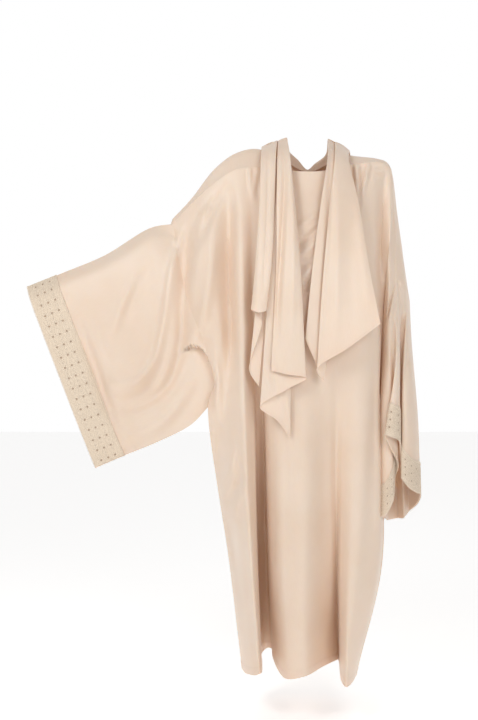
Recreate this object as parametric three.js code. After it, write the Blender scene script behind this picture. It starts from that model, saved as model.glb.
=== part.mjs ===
// A prayer dress (isdal) with an attached veil, worn and filled out, one wide sleeve raised to the side
// and the other hanging. Millimetres. +X is the wearer's left, +Y the wearer's back, +Z is up.
// The origin lies on the shoulder line, in the middle of the neck.
// Every piece is one closed wall of cloth through fold lines that run the way the cloth hangs.
import * as THREE from "three";

// ---- driving sizes ---------------------------------------------------------------------------------
const CLOTH = 1.5; // wall of the satin crepe
const LACE = 1.2; // wall of the lace band
const LACE_LIFT = 0.4; // air between the lace and the sleeve under it
const SEAM_GAP = 0.6; // air between two pieces at their seam
const CUFF_COLUMNS = 36; // eyelets around a cuff, and steps around a sleeve
const LACE_BAND = 85; // width of the lace band
const LACE_LINES = [0, 0.38, 0.62, 1]; // where its steps lie, from the upper edge to the free edge
const EYELET_PLACES = [0.7, 0.5, 0.3]; // where each step has its row of eyelets
const LACE_ROWS = EYELET_PLACES.length;
const EYELET = 6; // opening of one eyelet
const YOKE_ROWS = 9; // steps from the shoulder seam to the underarm
const SKIRT_ROWS = 12; // steps from the underarm to the hem
const SLEEVE_ROWS = 8; // steps from the armhole to the lace
const VEIL_ROWS = 12; // steps down a folded end of the veil
const STRIP_ROWS = 10; // steps down the veil's front strip
const VEIL_STEPS = 2; // steps from one fold line of the veil to the next
const BAND_STEPS = 3; // the same on the band round the neck
const FOLD_FADE = 0.12; // share of a soft fold's length that it needs to come up at either end

// ---- the front, a row for each fold line from the wearer's right to the left ------------------------
// x and y stand at six heights: shoulder seam, chest, waist of the armhole, underarm, knee, hem.
// top, under and hem are the heights of the seam, the underarm and the hem; steps divides the cloth up
// to the next line.
const PANEL_LEVELS = [0, 0.35, 0.85, 1, 1.6, 2];
const FRONT = [
  { line: "armhole_r", x: [-362, -330, -251, -268, -211, -177], y: [-5, -45, -45, 5, 65, 85],
    top: -172, under: -662, hem: -1385, steps: 1 },
  { line: "underarm_r", x: [-313, -309, -244, -253, -202, -168], y: [-15, -58, -70, -30, 29, 45],
    top: -120, under: -658, hem: -1387, steps: 1 },
  { line: "side_r", x: [-273, -282, -237, -238, -188, -157], y: [-25, -72, -85, -62, -11, 5],
    top: -84, under: -654, hem: -1380, steps: 1 },
  { line: "outer_ridge_r", x: [-243, -253, -224, -219, -175, -146], y: [-30, -80, -90, -84, -49, -25],
    top: -61, under: -651, hem: -1374, steps: 1 },
  { line: "trough_r", x: [-214, -219, -208, -203, -164, -137], y: [-35, -70, -80, -85, -72, -40],
    top: -43, under: -648, hem: -1369, steps: 1 },
  { line: "long_ridge_r", x: [-190, -188, -180, -175, -152, -130], y: [-38, -96, -112, -114, -94, -50],
    top: -31, under: -644, hem: -1363, steps: 2 },
  { line: "deep_fold_lip_r", x: [-166, -166, -158, -151, -137, -123], y: [-39, -90, -94, -90, -46, 10],
    top: -27, under: -643, hem: -1372, steps: 2 },
  { line: "deep_fold_floor_r", x: [-151, -151, -146, -140, -128, -115], y: [-40, -82, -68, -45, 112, 200],
    top: -26, under: -642, hem: -1358, steps: 1 },
  { line: "deep_fold_floor_c", x: [-135, -136, -130, -124, -109, -95], y: [-41, -84, -68, -45, 112, 200],
    top: -26, under: -642, hem: -1359, steps: 2 },
  { line: "deep_fold_lip_c", x: [-111, -120, -116, -115, -105, -91], y: [-35, -94, -97, -88, -10, 90],
    top: -23, under: -637, hem: -1358, steps: 1 },
  { line: "neck_r", x: [-84, -100, -102, -102, -93, -79], y: [-25, -104, -112, -107, -55, 45],
    top: -20, under: -637, hem: -1378, steps: 1 },
  { line: "chest_r", x: [-56, -66, -72, -75, -70, -55], y: [-48, -116, -125, -125, -100, -40],
    top: -35, under: -634, hem: -1380, steps: 2 },
  { line: "centre", x: [-4, -10, -21, -23, -21, -12], y: [-66, -119, -123, -126, -114, -60],
    top: -42, under: -631, hem: -1367, steps: 2 },
  { line: "chest_l", x: [49, 31, 21, 21, 26, 39], y: [-55, -116, -119, -118, -72, 20],
    top: -36, under: -629, hem: -1364, steps: 2 },
  { line: "neck_l", x: [94, 70, 52, 50, 60, 82], y: [-25, -113, -117, -109, -28, 110],
    top: -15, under: -626, hem: -1371, steps: 2 },
  { line: "fold_floor_l", x: [109, 92, 73, 69, 76, 95], y: [-31, -107, -113, -102, -2, 150],
    top: -15, under: -624, hem: -1380, steps: 2 },
  { line: "fold_lip_l", x: [125, 110, 96, 89, 83, 89], y: [-35, -101, -111, -104, -56, -10],
    top: -16, under: -621, hem: -1393, steps: 2 },
  { line: "front_lobe_l", x: [152, 137, 128, 120, 103, 97], y: [-30, -92, -105, -107, -94, -60],
    top: -11, under: -616, hem: -1395, steps: 1 },
  { line: "side_l", x: [179, 167, 160, 155, 139, 113], y: [-25, -74, -87, -91, -79, -35],
    top: -10, under: -614, hem: -1392, steps: 1 },
  { line: "valley_l", x: [204, 192, 184, 181, 180, 127], y: [-18, -36, -42, -46, -44, 8],
    top: -15, under: -613, hem: -1388, steps: 1 },
  { line: "arm_front_l", x: [219, 209, 193, 189, 202, 134], y: [-8, -50, 0, 10, 34, 40],
    top: -23, under: -611, hem: -1391, steps: 1 },
  { line: "arm_mid_l", x: [227, 206, 193, 190, 204, 135], y: [-15, -55, 8, 18, 36, 55],
    top: -123, under: -609, hem: -1393, steps: 1 },
  { line: "arm_low_l", x: [231, 208, 194, 191, 204, 135], y: [-28, -60, 6, 25, 48, 65],
    top: -217, under: -606, hem: -1393, steps: 1 },
  { line: "armhole_l", x: [231, 204, 196, 193, 204, 135], y: [-40, -56, 2, 32, 60, 80],
    top: -324, under: -604, hem: -1394, steps: 1 },
];

// ---- the back, with a seventh height, ridge, where it comes over the shoulder to meet the front ------
const BACK_LEVELS = [0, null, 0.35, 0.85, 1, 1.6, 2];
const BACK = [
  { line: "armhole_r", x: [-362, -364, -334, -258, -268, -211, -177], y: [-5, 10, 28, 18, 5, 65, 85],
    top: -172, ridge: -147, under: -662, hem: -1385, steps: 1 },
  { line: "side_r", x: [-313, -315, -313, -253, -253, -197, -163], y: [-15, 10, 60, 58, 60, 124, 140],
    top: -120, ridge: -102, under: -662, hem: -1400, steps: 2 },
  { line: "fold_r1", x: [-243, -251, -254, -226, -221, -167, -137], y: [-30, 6, 88, 92, 95, 172, 190],
    top: -61, ridge: -24, under: -658, hem: -1397, steps: 2 },
  { line: "fold_r2", x: [-190, -193, -188, -174, -171, -133, -107], y: [-38, 3, 95, 108, 110, 171, 222],
    top: -31, ridge: 18, under: -653, hem: -1366, steps: 5 },
  { line: "fold_r3", x: [-135, -135, -132, -127, -121, -91, -66], y: [-41, 2, 112, 118, 118, 198, 236],
    top: -26, ridge: 29, under: -647, hem: -1366, steps: 3 },
  { line: "neck_r", x: [-84, -83, -88, -82, -79, -50, -30], y: [-25, 3, 105, 108, 108, 173, 215],
    top: -20, ridge: 6, under: -644, hem: -1369, steps: 2 },
  { line: "fold_c1", x: [-63, -54, -43, -43, -40, -16, 0], y: [36, 58, 115, 122, 122, 193, 236],
    top: 4, ridge: -4, under: -642, hem: -1374, steps: 2 },
  { line: "centre", x: [4, 5, 7, 7, 7, 21, 30], y: [62, 76, 108, 112, 112, 174, 214],
    top: -22, ridge: -38, under: -639, hem: -1369, steps: 2 },
  { line: "fold_c2", x: [73, 66, 60, 58, 55, 57, 60], y: [36, 58, 115, 122, 122, 190, 232],
    top: 4, ridge: -4, under: -636, hem: -1373, steps: 2 },
  { line: "neck_l", x: [94, 95, 101, 98, 96, 91, 85], y: [-25, 3, 105, 110, 110, 170, 212],
    top: -15, ridge: 13, under: -633, hem: -1368, steps: 4 },
  { line: "fold_l1", x: [125, 129, 137, 132, 130, 123, 109], y: [-35, 3, 110, 116, 116, 186, 224],
    top: -16, ridge: 9, under: -628, hem: -1371, steps: 3 },
  { line: "fold_l2", x: [179, 186, 180, 169, 167, 159, 127], y: [-25, 6, 94, 100, 102, 159, 205],
    top: -10, ridge: 2, under: -622, hem: -1381, steps: 1 },
  { line: "side_l", x: [204, 212, 203, 187, 189, 188, 138], y: [-18, 10, 84, 90, 88, 142, 196],
    top: -15, ridge: -6, under: -616, hem: -1387, steps: 1 },
  { line: "arm_back_l", x: [219, 226, 234, 202, 203, 200, 142], y: [-8, 16, 98, 76, 72, 120, 170],
    top: -23, ridge: -29, under: -613, hem: -1391, steps: 1 },
  { line: "arm_mid_l", x: [227, 239, 262, 208, 200, 204, 143], y: [-15, 12, 92, 68, 61, 100, 145],
    top: -123, ridge: -138, under: -610, hem: -1393, steps: 1 },
  { line: "arm_low_l", x: [231, 251, 270, 213, 196, 205, 142], y: [-28, 5, 78, 60, 50, 80, 120],
    top: -217, ridge: -241, under: -607, hem: -1394, steps: 1 },
  { line: "armhole_l", x: [231, 258, 279, 226, 193, 204, 135], y: [-40, -12, 50, 54, 32, 60, 80],
    top: -324, ridge: -333, under: -604, hem: -1394, steps: 1 },
];
const NECK_FROM = "neck_r";
const NECK_TO = "neck_l";

// ---- the raised right sleeve: sections from the armhole to the cuff ---------------------------------
// fold is the line over the arm and seam the lowest line under it, at each section; front and back are
// the depths of the two layers at five places between them.
const SLEEVE_R_PLACES = [0.07, 0.25, 0.5, 0.75, 0.94];
const SLEEVE_R = [
  { fold: [-421, -182], seam: [-314, -709], front: [-34, -50, -46, -26, -8], back: [36, 42, 34, 26, 18] },
  { fold: [-545, -256], seam: [-405, -756], front: [-33, -44, -50, -46, -18], back: [34, 36, 24, 14, 14] },
  { fold: [-655, -302], seam: [-489, -790], front: [-30, -38, -38, -38, -16], back: [32, 30, 16, 8, 10] },
  { fold: [-752, -341], seam: [-569, -824], front: [-26, -31, -26, -20, -10], back: [28, 24, 8, 4, 6] },
];
const SLEEVE_R_EDGE = 4; // how far the seam line lies in front of the middle of the sleeve

// ---- the hanging left sleeve: a row for each fold line, halfway down and at the cuff ------------------
const SLEEVE_L = [
  { line: "top", mid: [232, -72, -531], cuff: [213, -98, -737], steps: 1 },
  { line: "pleat_edge", mid: [224, -74, -541], cuff: [194, -93, -731], steps: 2 },
  { line: "pleat_floor", mid: [226, -62, -562], cuff: [214, -78, -770], steps: 2 },
  { line: "pleat_back", mid: [229, -54, -578], cuff: [235, -52, -815], steps: 1 },
  { line: "pleat_turn", mid: [223, -49, -592], cuff: [227, -38, -850], steps: 2 },
  { line: "front_edge", mid: [212, -61, -620], cuff: [219, -60, -904], steps: 1 },
  { line: "front_face", mid: [201, -60, -654], cuff: [205, -58, -941], steps: 1 },
  { line: "front_corner", mid: [191, -45, -689], cuff: [193, -44, -951], steps: 3 },
  { line: "body_side", mid: [206, 0, -724], cuff: [213, 5, -960], steps: 2 },
  { line: "body_side_back", mid: [209, 45, -759], cuff: [219, 55, -970], steps: 3 },
  { line: "underarm", mid: [221, 84, -784], cuff: [230, 98, -977], steps: 1 },
  { line: "back_fold_out", mid: [245, 108, -775], cuff: [256, 120, -976], steps: 2 },
  { line: "back_fold_in", mid: [254, 70, -756], cuff: [267, 64, -966], steps: 1 },
  { line: "back_outer", mid: [272, 94, -735], cuff: [286, 98, -954], steps: 2 },
  { line: "outer_back", mid: [291, 62, -700], cuff: [302, 56, -926], steps: 2 },
  { line: "outer", mid: [294, 10, -665], cuff: [302, 5, -896], steps: 2 },
  { line: "outer_front", mid: [277, -38, -629], cuff: [282, -42, -885], steps: 1 },
  { line: "back_face", mid: [257, -58, -602], cuff: [259, -66, -869], steps: 1 },
  { line: "gap_lip", mid: [246, -54, -578], cuff: [242, -66, -844], steps: 1 },
  { line: "gap_floor_outer", mid: [252, -20, -566], cuff: [252, -38, -826], steps: 1 },
  { line: "gap_floor_inner", mid: [244, -18, -552], cuff: [243, -40, -808], steps: 3 },
  { line: "gap_front", mid: [238, -58, -539], cuff: [232, -80, -746], steps: 1 },
];

// ---- the veil: zigzag folded ends on the chest and the band round the back of the neck ----------------
// Each line has five points [x, y, z]: behind the shoulder, before it, on the collarbone, on the chest,
// at its end.
const VEIL_END_R = [
  { line: "main_left_fold", points: [[-80, 8, 53], [-84, -56, 2], [-87, -106, -94], [-90, -150, -281],
    [-103, -164, -562]] },
  { line: "main_middle", points: [[-67, 8, 59], [-66, -64, 0], [-63, -114, -95], [-60, -160, -281],
    [-65, -170, -572]] },
  { line: "main_right_fold", points: [[-56, 8, 61], [-52, -62, 4], [-45, -104, -86],
    [-31, -154, -265], [-15, -162, -582]] },
  { line: "second_middle", points: [[-67, 7, 51], [-65, -57, -4], [-60, -101, -97], [-62, -148, -290],
    [-62, -157, -610]] },
  { line: "second_left_fold", points: [[-78, 6, 45], [-82, -52, -5], [-89, -96, -100],
    [-106, -143, -300], [-131, -152, -656]] },
  { line: "third_middle", points: [[-68, 6, 46], [-68, -52, -9], [-70, -94, -102], [-76, -139, -320],
    [-88, -146, -690]] },
  { line: "third_right_fold", points: [[-58, 6, 47], [-56, -54, -11], [-52, -92, -100],
    [-50, -137, -320], [-55, -142, -735]] },
  { line: "third_under", points: [[-68, 6, 41], [-70, -48, -14], [-74, -88, -104], [-80, -131, -330],
    [-84, -136, -690]] },
];
const VEIL_STRIP_R = [
  { line: "front_under", points: [[-94, 7, 44], [-100, -52, 0], [-106, -106, -140],
    [-108, -148, -290], [-118, -154, -396]] },
  { line: "front_right_edge", points: [[-87, 8, 54], [-94, -60, 4], [-98, -118, -150],
    [-103, -158, -293], [-116, -166, -410]] },
  { line: "front_middle", points: [[-105, 8, 44], [-109, -60, 2], [-114, -122, -140],
    [-122, -162, -293], [-136, -174, -416]] },
  { line: "front_left_edge", points: [[-124, 8, 37], [-127, -54, -2], [-132, -108, -130],
    [-143, -144, -293], [-154, -158, -408]] },
  { line: "knot", points: [[-112, 6, 38], [-114, -51, -2], [-118, -102, -135], [-124, -139, -300],
    [-128, -152, -436]] },
  { line: "under_left_edge", points: [[-122, 5, 34], [-124, -48, -6], [-126, -95, -135],
    [-134, -133, -330], [-158, -144, -562]] },
  { line: "under_right_edge", points: [[-100, 5, 38], [-104, -46, -8], [-106, -92, -145],
    [-112, -131, -340], [-134, -142, -604]] },
];
const VEIL_END_L = [
  { line: "main_right_edge", points: [[112, 8, 27], [104, -58, -12], [124, -104, -130],
    [150, -136, -310], [175, -150, -444]] },
  { line: "main_middle", points: [[93, 8, 42], [88, -68, -8], [86, -128, -130], [88, -152, -300],
    [92, -164, -505]] },
  { line: "main_left_fold", points: [[73, 8, 50], [66, -72, -6], [47, -132, -150], [27, -155, -350],
    [13, -162, -560]] },
  { line: "under_right_fold", points: [[90, 6, 33], [84, -62, -16], [76, -118, -150],
    [62, -144, -360], [30, -152, -588]] },
  { line: "strip_left_fold", points: [[54, 8, 58], [48, -68, -4], [28, -114, -120], [2, -139, -310],
    [-16, -150, -480]] },
  { line: "strip_under", points: [[71, 6, 41], [66, -62, -14], [52, -110, -130], [42, -133, -330],
    [20, -140, -530]] },
];
// The band's lines run from the right shoulder round the back to the left. They follow each other from
// the neck seam, which is the back's own neckline, up over a roll and down to the free edge.
const VEIL_NECK = [
  { line: "neck_edge", points: [[-56, 9.3, 61], [-51, 36, 33], [-24, 56, 10], [3, 66, -15],
    [22, 58, 0], [50, 38, 21],
    [54, 9.3, 58]] },
  { line: "roll", points: [[-67, 9.3, 59], [-76, 50, 26], [-44, 80, 0], [-2, 92, -22], [42, 80, -4],
    [80, 50, 18],
    [73, 9.3, 50]] },
  { line: "valley", points: [[-80, 9.3, 53], [-94, 60, 4], [-54, 92, -34], [0, 106, -58],
    [54, 92, -34], [98, 60, 0],
    [88, 9.3, 45]] },
  { line: "lower_ridge", points: [[-100, 9.3, 49], [-116, 76, -22], [-66, 106, -68], [2, 120, -92],
    [68, 106, -68],
    [118, 76, -26], [102, 9.3, 34]] },
  { line: "free_edge", points: [[-124, 9.3, 37], [-136, 82, -60], [-76, 110, -108], [4, 122, -134],
    [78, 110, -110],
    [134, 82, -64], [112, 9.3, 27]] },
];

// ---- soft folds drawn on the front and on the raised sleeve ------------------------------------------
// path is [x, z] from start to end; width and depth are the fold's own, depth above 0 is a trough.
const SOFT_FOLDS = [
  { fold: "elbow_trough", path: [[-368, -250], [-378, -420], [-398, -540], [-420, -620], [-480, -668]],
    width: 40, depth: 14 },
  { fold: "elbow_ridge", path: [[-350, -290], [-350, -420], [-365, -560], [-400, -655]],
    width: 30, depth: -7 },
  { fold: "cuff_trough", path: [[-430, -330], [-462, -440], [-500, -520], [-560, -600]],
    width: 34, depth: 9 },
  { fold: "shoulder_trough", path: [[-326, -190], [-334, -250], [-330, -330]], width: 16, depth: 12 },
  { fold: "breast_ridge", path: [[-272, -150], [-290, -270], [-302, -390], [-300, -480]],
    width: 18, depth: -13 },
  { fold: "armpit_trough", path: [[-322, -505], [-300, -508], [-276, -552], [-262, -610], [-262, -655]],
    width: 20, depth: 17 },
  { fold: "armpit_ridge", path: [[-300, -470], [-272, -500], [-250, -545], [-240, -640]],
    width: 16, depth: -6 },
  { fold: "side_dent_1", path: [[-244, -700], [-240, -800]], width: 12, depth: 15 },
  { fold: "side_dent_2", path: [[-214, -960], [-208, -1060]], width: 13, depth: 14 },
  { fold: "chest_cross_1", path: [[-30, -190], [5, -250], [30, -200]], width: 11, depth: 7 },
  { fold: "chest_cross_2", path: [[-28, -290], [8, -330], [30, -280]], width: 10, depth: -8 },
];

// ---- small gathers at the neck, which fade down the front --------------------------------------------
const GATHERS = [
  { gather: "right_shoulder", from: "deep_fold_lip_r", to: "deep_fold_lip_c", height: 4, length: 70 },
  { gather: "left_shoulder", from: "neck_l", to: "front_lobe_l", height: 5, length: 150 },
];

const SATIN = { color: 0xecdac8, roughness: 0.5, metalness: 0 };
const LACE_FINISH = { color: 0xe8d8c8, roughness: 0.75, metalness: 0 };

// ---- helpers for cloth ---------------------------------------------------------------------------------
const at = (x, y, z) => new THREE.Vector3(x, y, z);
const row = (points, closed = false) => new THREE.CatmullRomCurve3(points, closed, "centripetal");

// A point on a row of points, counted in places: 2.5 lies halfway between the third and the fourth.
function placeOn(curve, place) {
  const count = curve.closed ? curve.points.length : curve.points.length - 1;
  return curve.getPoint(place / count);
}

// Distance and place along a path drawn in the X-Z plane.
function nearestOnPath(path, x, z) {
  let best = { distance: Infinity, share: 0 };
  for (let i = 0; i < path.length - 1; i++) {
    const [ax, az] = path[i];
    const [bx, bz] = path[i + 1];
    const dx = bx - ax;
    const dz = bz - az;
    const t = THREE.MathUtils.clamp(((x - ax) * dx + (z - az) * dz) / (dx * dx + dz * dz), 0, 1);
    const distance = Math.hypot(x - ax - t * dx, z - az - t * dz);
    if (distance < best.distance) best = { distance, share: (i + t) / (path.length - 1) };
  }
  return best;
}

// How far the soft folds push a point of a front layer towards the back.
function softFold(point) {
  let push = 0;
  for (const fold of SOFT_FOLDS) {
    const { distance, share } = nearestOnPath(fold.path, point.x, point.z);
    const fade = Math.sin(Math.PI * (FOLD_FADE + (1 - 2 * FOLD_FADE) * share));
    push += fold.depth * fade * Math.exp(-((distance / fold.width) ** 2));
  }
  return push;
}

// The normal at each point of a grid of points, from its neighbours.
function gridNormals(grid, closed) {
  const rows = grid.length;
  const columns = grid[0].length;
  return grid.map((line, j) => line.map((_, i) => {
    const left = closed ? grid[j][(i + columns - 1) % columns] : grid[j][Math.max(i - 1, 0)];
    const right = closed ? grid[j][(i + 1) % columns] : grid[j][Math.min(i + 1, columns - 1)];
    const above = grid[Math.max(j - 1, 0)][i];
    const below = grid[Math.min(j + 1, rows - 1)][i];
    const across = right.clone().sub(left);
    const down = below.clone().sub(above);
    return down.cross(across).normalize();
  }));
}

// A closed wall of cloth: the grid's points moved along their normals to both of its faces.
// Seen from outside, rows run down and columns run to the right.
function wall(grid, closed = false, normals = gridNormals(grid, closed)) {
  const rows = grid.length;
  const columns = grid[0].length;
  const spans = closed ? columns : columns - 1;
  const positions = [];
  for (const move of [CLOTH / 2, -CLOTH / 2]) {
    for (let j = 0; j < rows; j++) {
      for (let i = 0; i < columns; i++) {
        const point = grid[j][i].clone().addScaledVector(normals[j][i], move);
        positions.push(point.x, point.y, point.z);
      }
    }
  }
  const faces = [];
  const quad = (a, b, c, d) => faces.push(a, b, c, a, c, d);
  const outside = (j, i) => j * columns + (i % columns);
  const inside = (j, i) => rows * columns + outside(j, i);
  for (let j = 0; j < rows - 1; j++) {
    for (let i = 0; i < spans; i++) {
      quad(outside(j, i), outside(j + 1, i), outside(j + 1, i + 1), outside(j, i + 1));
      quad(inside(j, i), inside(j, i + 1), inside(j + 1, i + 1), inside(j + 1, i));
    }
  }
  for (let i = 0; i < spans; i++) {
    quad(outside(0, i), outside(0, i + 1), inside(0, i + 1), inside(0, i));
    quad(outside(rows - 1, i + 1), outside(rows - 1, i), inside(rows - 1, i), inside(rows - 1, i + 1));
  }
  if (!closed) {
    for (let j = 0; j < rows - 1; j++) {
      quad(outside(j + 1, 0), outside(j, 0), inside(j, 0), inside(j + 1, 0));
      const end = columns - 1;
      quad(outside(j, end), outside(j + 1, end), inside(j + 1, end), inside(j, end));
    }
  }
  const geometry = new THREE.BufferGeometry();
  geometry.setAttribute("position", new THREE.Float32BufferAttribute(positions, 3));
  geometry.setIndex(faces);
  geometry.computeVertexNormals();
  return geometry;
}

function piece(name, geometry, finish) {
  const mesh = new THREE.Mesh(geometry, new THREE.MeshStandardMaterial(finish));
  mesh.name = name;
  return mesh;
}

// Moves the points of an edge half a seam gap into their piece, square to the edge.
function drawBack(edge, inside, closed = false) {
  const count = edge.length;
  const moves = edge.map((point, i) => {
    const before = closed ? edge[(i + count - 1) % count] : edge[Math.max(i - 1, 0)];
    const after = closed ? edge[(i + 1) % count] : edge[Math.min(i + 1, count - 1)];
    const tangent = after.clone().sub(before).normalize();
    const inward = inside[i].clone().sub(point);
    return inward.addScaledVector(tangent, -inward.dot(tangent)).setLength(SEAM_GAP / 2);
  });
  edge.forEach((point, i) => point.add(moves[i]));
}

// ---- front and back panels --------------------------------------------------------------------------------
// The points of one fold line at the heights of its table row.
function foldLine(line, levels) {
  return levels.map((level, k) => {
    let z = line.ridge;
    if (level !== null && level <= 1) z = line.top + level * (line.under - line.top);
    if (level !== null && level > 1) z = line.under + (level - 1) * (line.hem - line.under);
    return at(line.x[k], line.y[k], z);
  });
}

// Rows run from the shoulder seam to the hem, and the row YOKE_ROWS passes through the underarms.
function panelGrid(table, levels) {
  const underarm = levels.indexOf(1);
  const last = levels.length - 1;
  const lines = table.map((line) => row(foldLine(line, levels)));
  const grid = [];
  for (let j = 0; j <= YOKE_ROWS + SKIRT_ROWS; j++) {
    const yoke = (j / YOKE_ROWS) * underarm;
    const skirt = underarm + ((j - YOKE_ROWS) / SKIRT_ROWS) * (last - underarm);
    const across = row(lines.map((line) => placeOn(line, j <= YOKE_ROWS ? yoke : skirt)));
    const points = [];
    table.forEach((line, i) => {
      const steps = i < table.length - 1 ? line.steps : 1;
      for (let s = 0; s < steps; s++) points.push(placeOn(across, i + s / steps));
    });
    grid.push(points);
  }
  return grid;
}

function columnOf(table, name) {
  let column = 0;
  for (const line of table) {
    if (line.line === name) return column;
    column += line.steps;
  }
  return -1;
}

const back = panelGrid(BACK, BACK_LEVELS);
const front = panelGrid(FRONT, PANEL_LEVELS);
for (const line of front) {
  for (const point of line) point.y += softFold(point);
}
for (const gather of GATHERS) {
  const from = columnOf(FRONT, gather.from);
  const to = columnOf(FRONT, gather.to);
  for (let j = 1; j < YOKE_ROWS; j++) {
    for (let i = from; i <= to; i++) {
      const fallen = front[0][i].z - front[j][i].z;
      const fade = Math.max(0, 1 - fallen / gather.length);
      front[j][i].y += (i % 2 ? 1 : -1) * gather.height * fade;
    }
  }
}
// The front's shoulder seams lie on the back's, column for column from each armhole to the neck.
const lastFront = front[0].length - 1;
const lastBack = back[0].length - 1;
const rightSeam = columnOf(FRONT, NECK_FROM);
const leftSeam = lastFront - columnOf(FRONT, NECK_TO);
for (let i = 0; i <= rightSeam; i++) front[0][i].copy(back[0][i]);
for (let i = 0; i <= leftSeam; i++) front[0][lastFront - i].copy(back[0][lastBack - i]);

// The side seams and armholes of the back lie on the front's edges, and keep their own depth above.
for (let j = YOKE_ROWS; j < front.length; j++) {
  back[j][0].copy(front[j][0]);
  back[j][lastBack].copy(front[j][lastFront]);
}

// The closed edge of an armhole, from the shoulder down its front and up its back.
function armhole(side) {
  const frontColumn = side === "r" ? 0 : lastFront;
  const backColumn = side === "r" ? 0 : lastBack;
  const down = [];
  const up = [];
  for (let j = 0; j <= YOKE_ROWS; j++) {
    down.push(front[j][frontColumn].clone());
    up.push(back[YOKE_ROWS - j][backColumn].clone());
  }
  return { down, up };
}
const armholes = { r: armhole("r"), l: armhole("l") };

// ---- sleeves: closed rings of CUFF_COLUMNS points ------------------------------------------------------
// A point a share of the way along a polyline.
function along(polyline, share) {
  const place = share * (polyline.length - 1);
  const i = Math.min(Math.floor(place), polyline.length - 2);
  return polyline[i].clone().lerp(polyline[i + 1], place - i);
}

const half = CUFF_COLUMNS / 2;

// The first ring of a sleeve, on its armhole.
function armholeRing(edge) {
  const ring = [];
  for (let i = 0; i < half; i++) ring.push(along(edge.down, i / half));
  for (let i = 0; i < half; i++) ring.push(along(edge.up, i / half));
  return ring;
}

// The ring of the raised sleeve at one section: front layer down, back layer up.
function raisedSection(section) {
  const { fold, seam, front: frontDepth, back: backDepth } = section;
  const place = (share, y) => at(
    fold[0] + share * (seam[0] - fold[0]), y, fold[1] + share * (seam[1] - fold[1]));
  const down = row([place(0, 0),
    ...SLEEVE_R_PLACES.map((share, k) => place(share, frontDepth[k])), place(1, -SLEEVE_R_EDGE)]);
  const up = row([place(1, -SLEEVE_R_EDGE),
    ...SLEEVE_R_PLACES.map((share, k) => place(share, backDepth[k])).reverse(), place(0, 0)]);
  const ring = [];
  for (let i = 0; i < half; i++) ring.push(down.getPointAt(i / half));
  for (let i = 0; i < half; i++) ring.push(up.getPointAt(i / half));
  return ring;
}

// Columns of a sleeve from its armhole ring through its sections, evenly stepped, with the last
// LACE_ROWS steps under the lace band.
function sleeveGrid(rings) {
  const columns = rings[0].map((_, i) => row(rings.map((ring) => ring[i])));
  const lengths = columns.map((column) => column.getLength());
  const grid = [];
  for (let j = 0; j <= SLEEVE_ROWS + LACE_ROWS; j++) {
    grid.push(columns.map((column, i) => {
      const laceShare = LACE_BAND / lengths[i];
      const share = j <= SLEEVE_ROWS
        ? (j / SLEEVE_ROWS) * (1 - laceShare)
        : 1 - (1 - LACE_LINES[j - SLEEVE_ROWS]) * laceShare;
      return column.getPointAt(share);
    }));
  }
  return grid;
}

const raisedSleeve = sleeveGrid([armholeRing(armholes.r), ...SLEEVE_R.map(raisedSection)]);
for (let j = 1; j < raisedSleeve.length; j++) {
  raisedSleeve[j].forEach((point, i) => {
    if (i > 0 && i < half) point.y += softFold(point);
  });
}

// The hanging sleeve's rings have their columns on its fold lines.
function hangingRings() {
  return ["mid", "cuff"].map((section) => {
    const ring = row(SLEEVE_L.map((line) => at(...line[section])), true);
    const points = [];
    SLEEVE_L.forEach((line, i) => {
      for (let s = 0; s < line.steps; s++) points.push(placeOn(ring, i + s / line.steps));
    });
    return points;
  });
}
// Seen from outside, this sleeve's ring runs the other way round than the raised one's.
const hangingSleeve = sleeveGrid([armholeRing(armholes.l), ...hangingRings()]);

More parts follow.
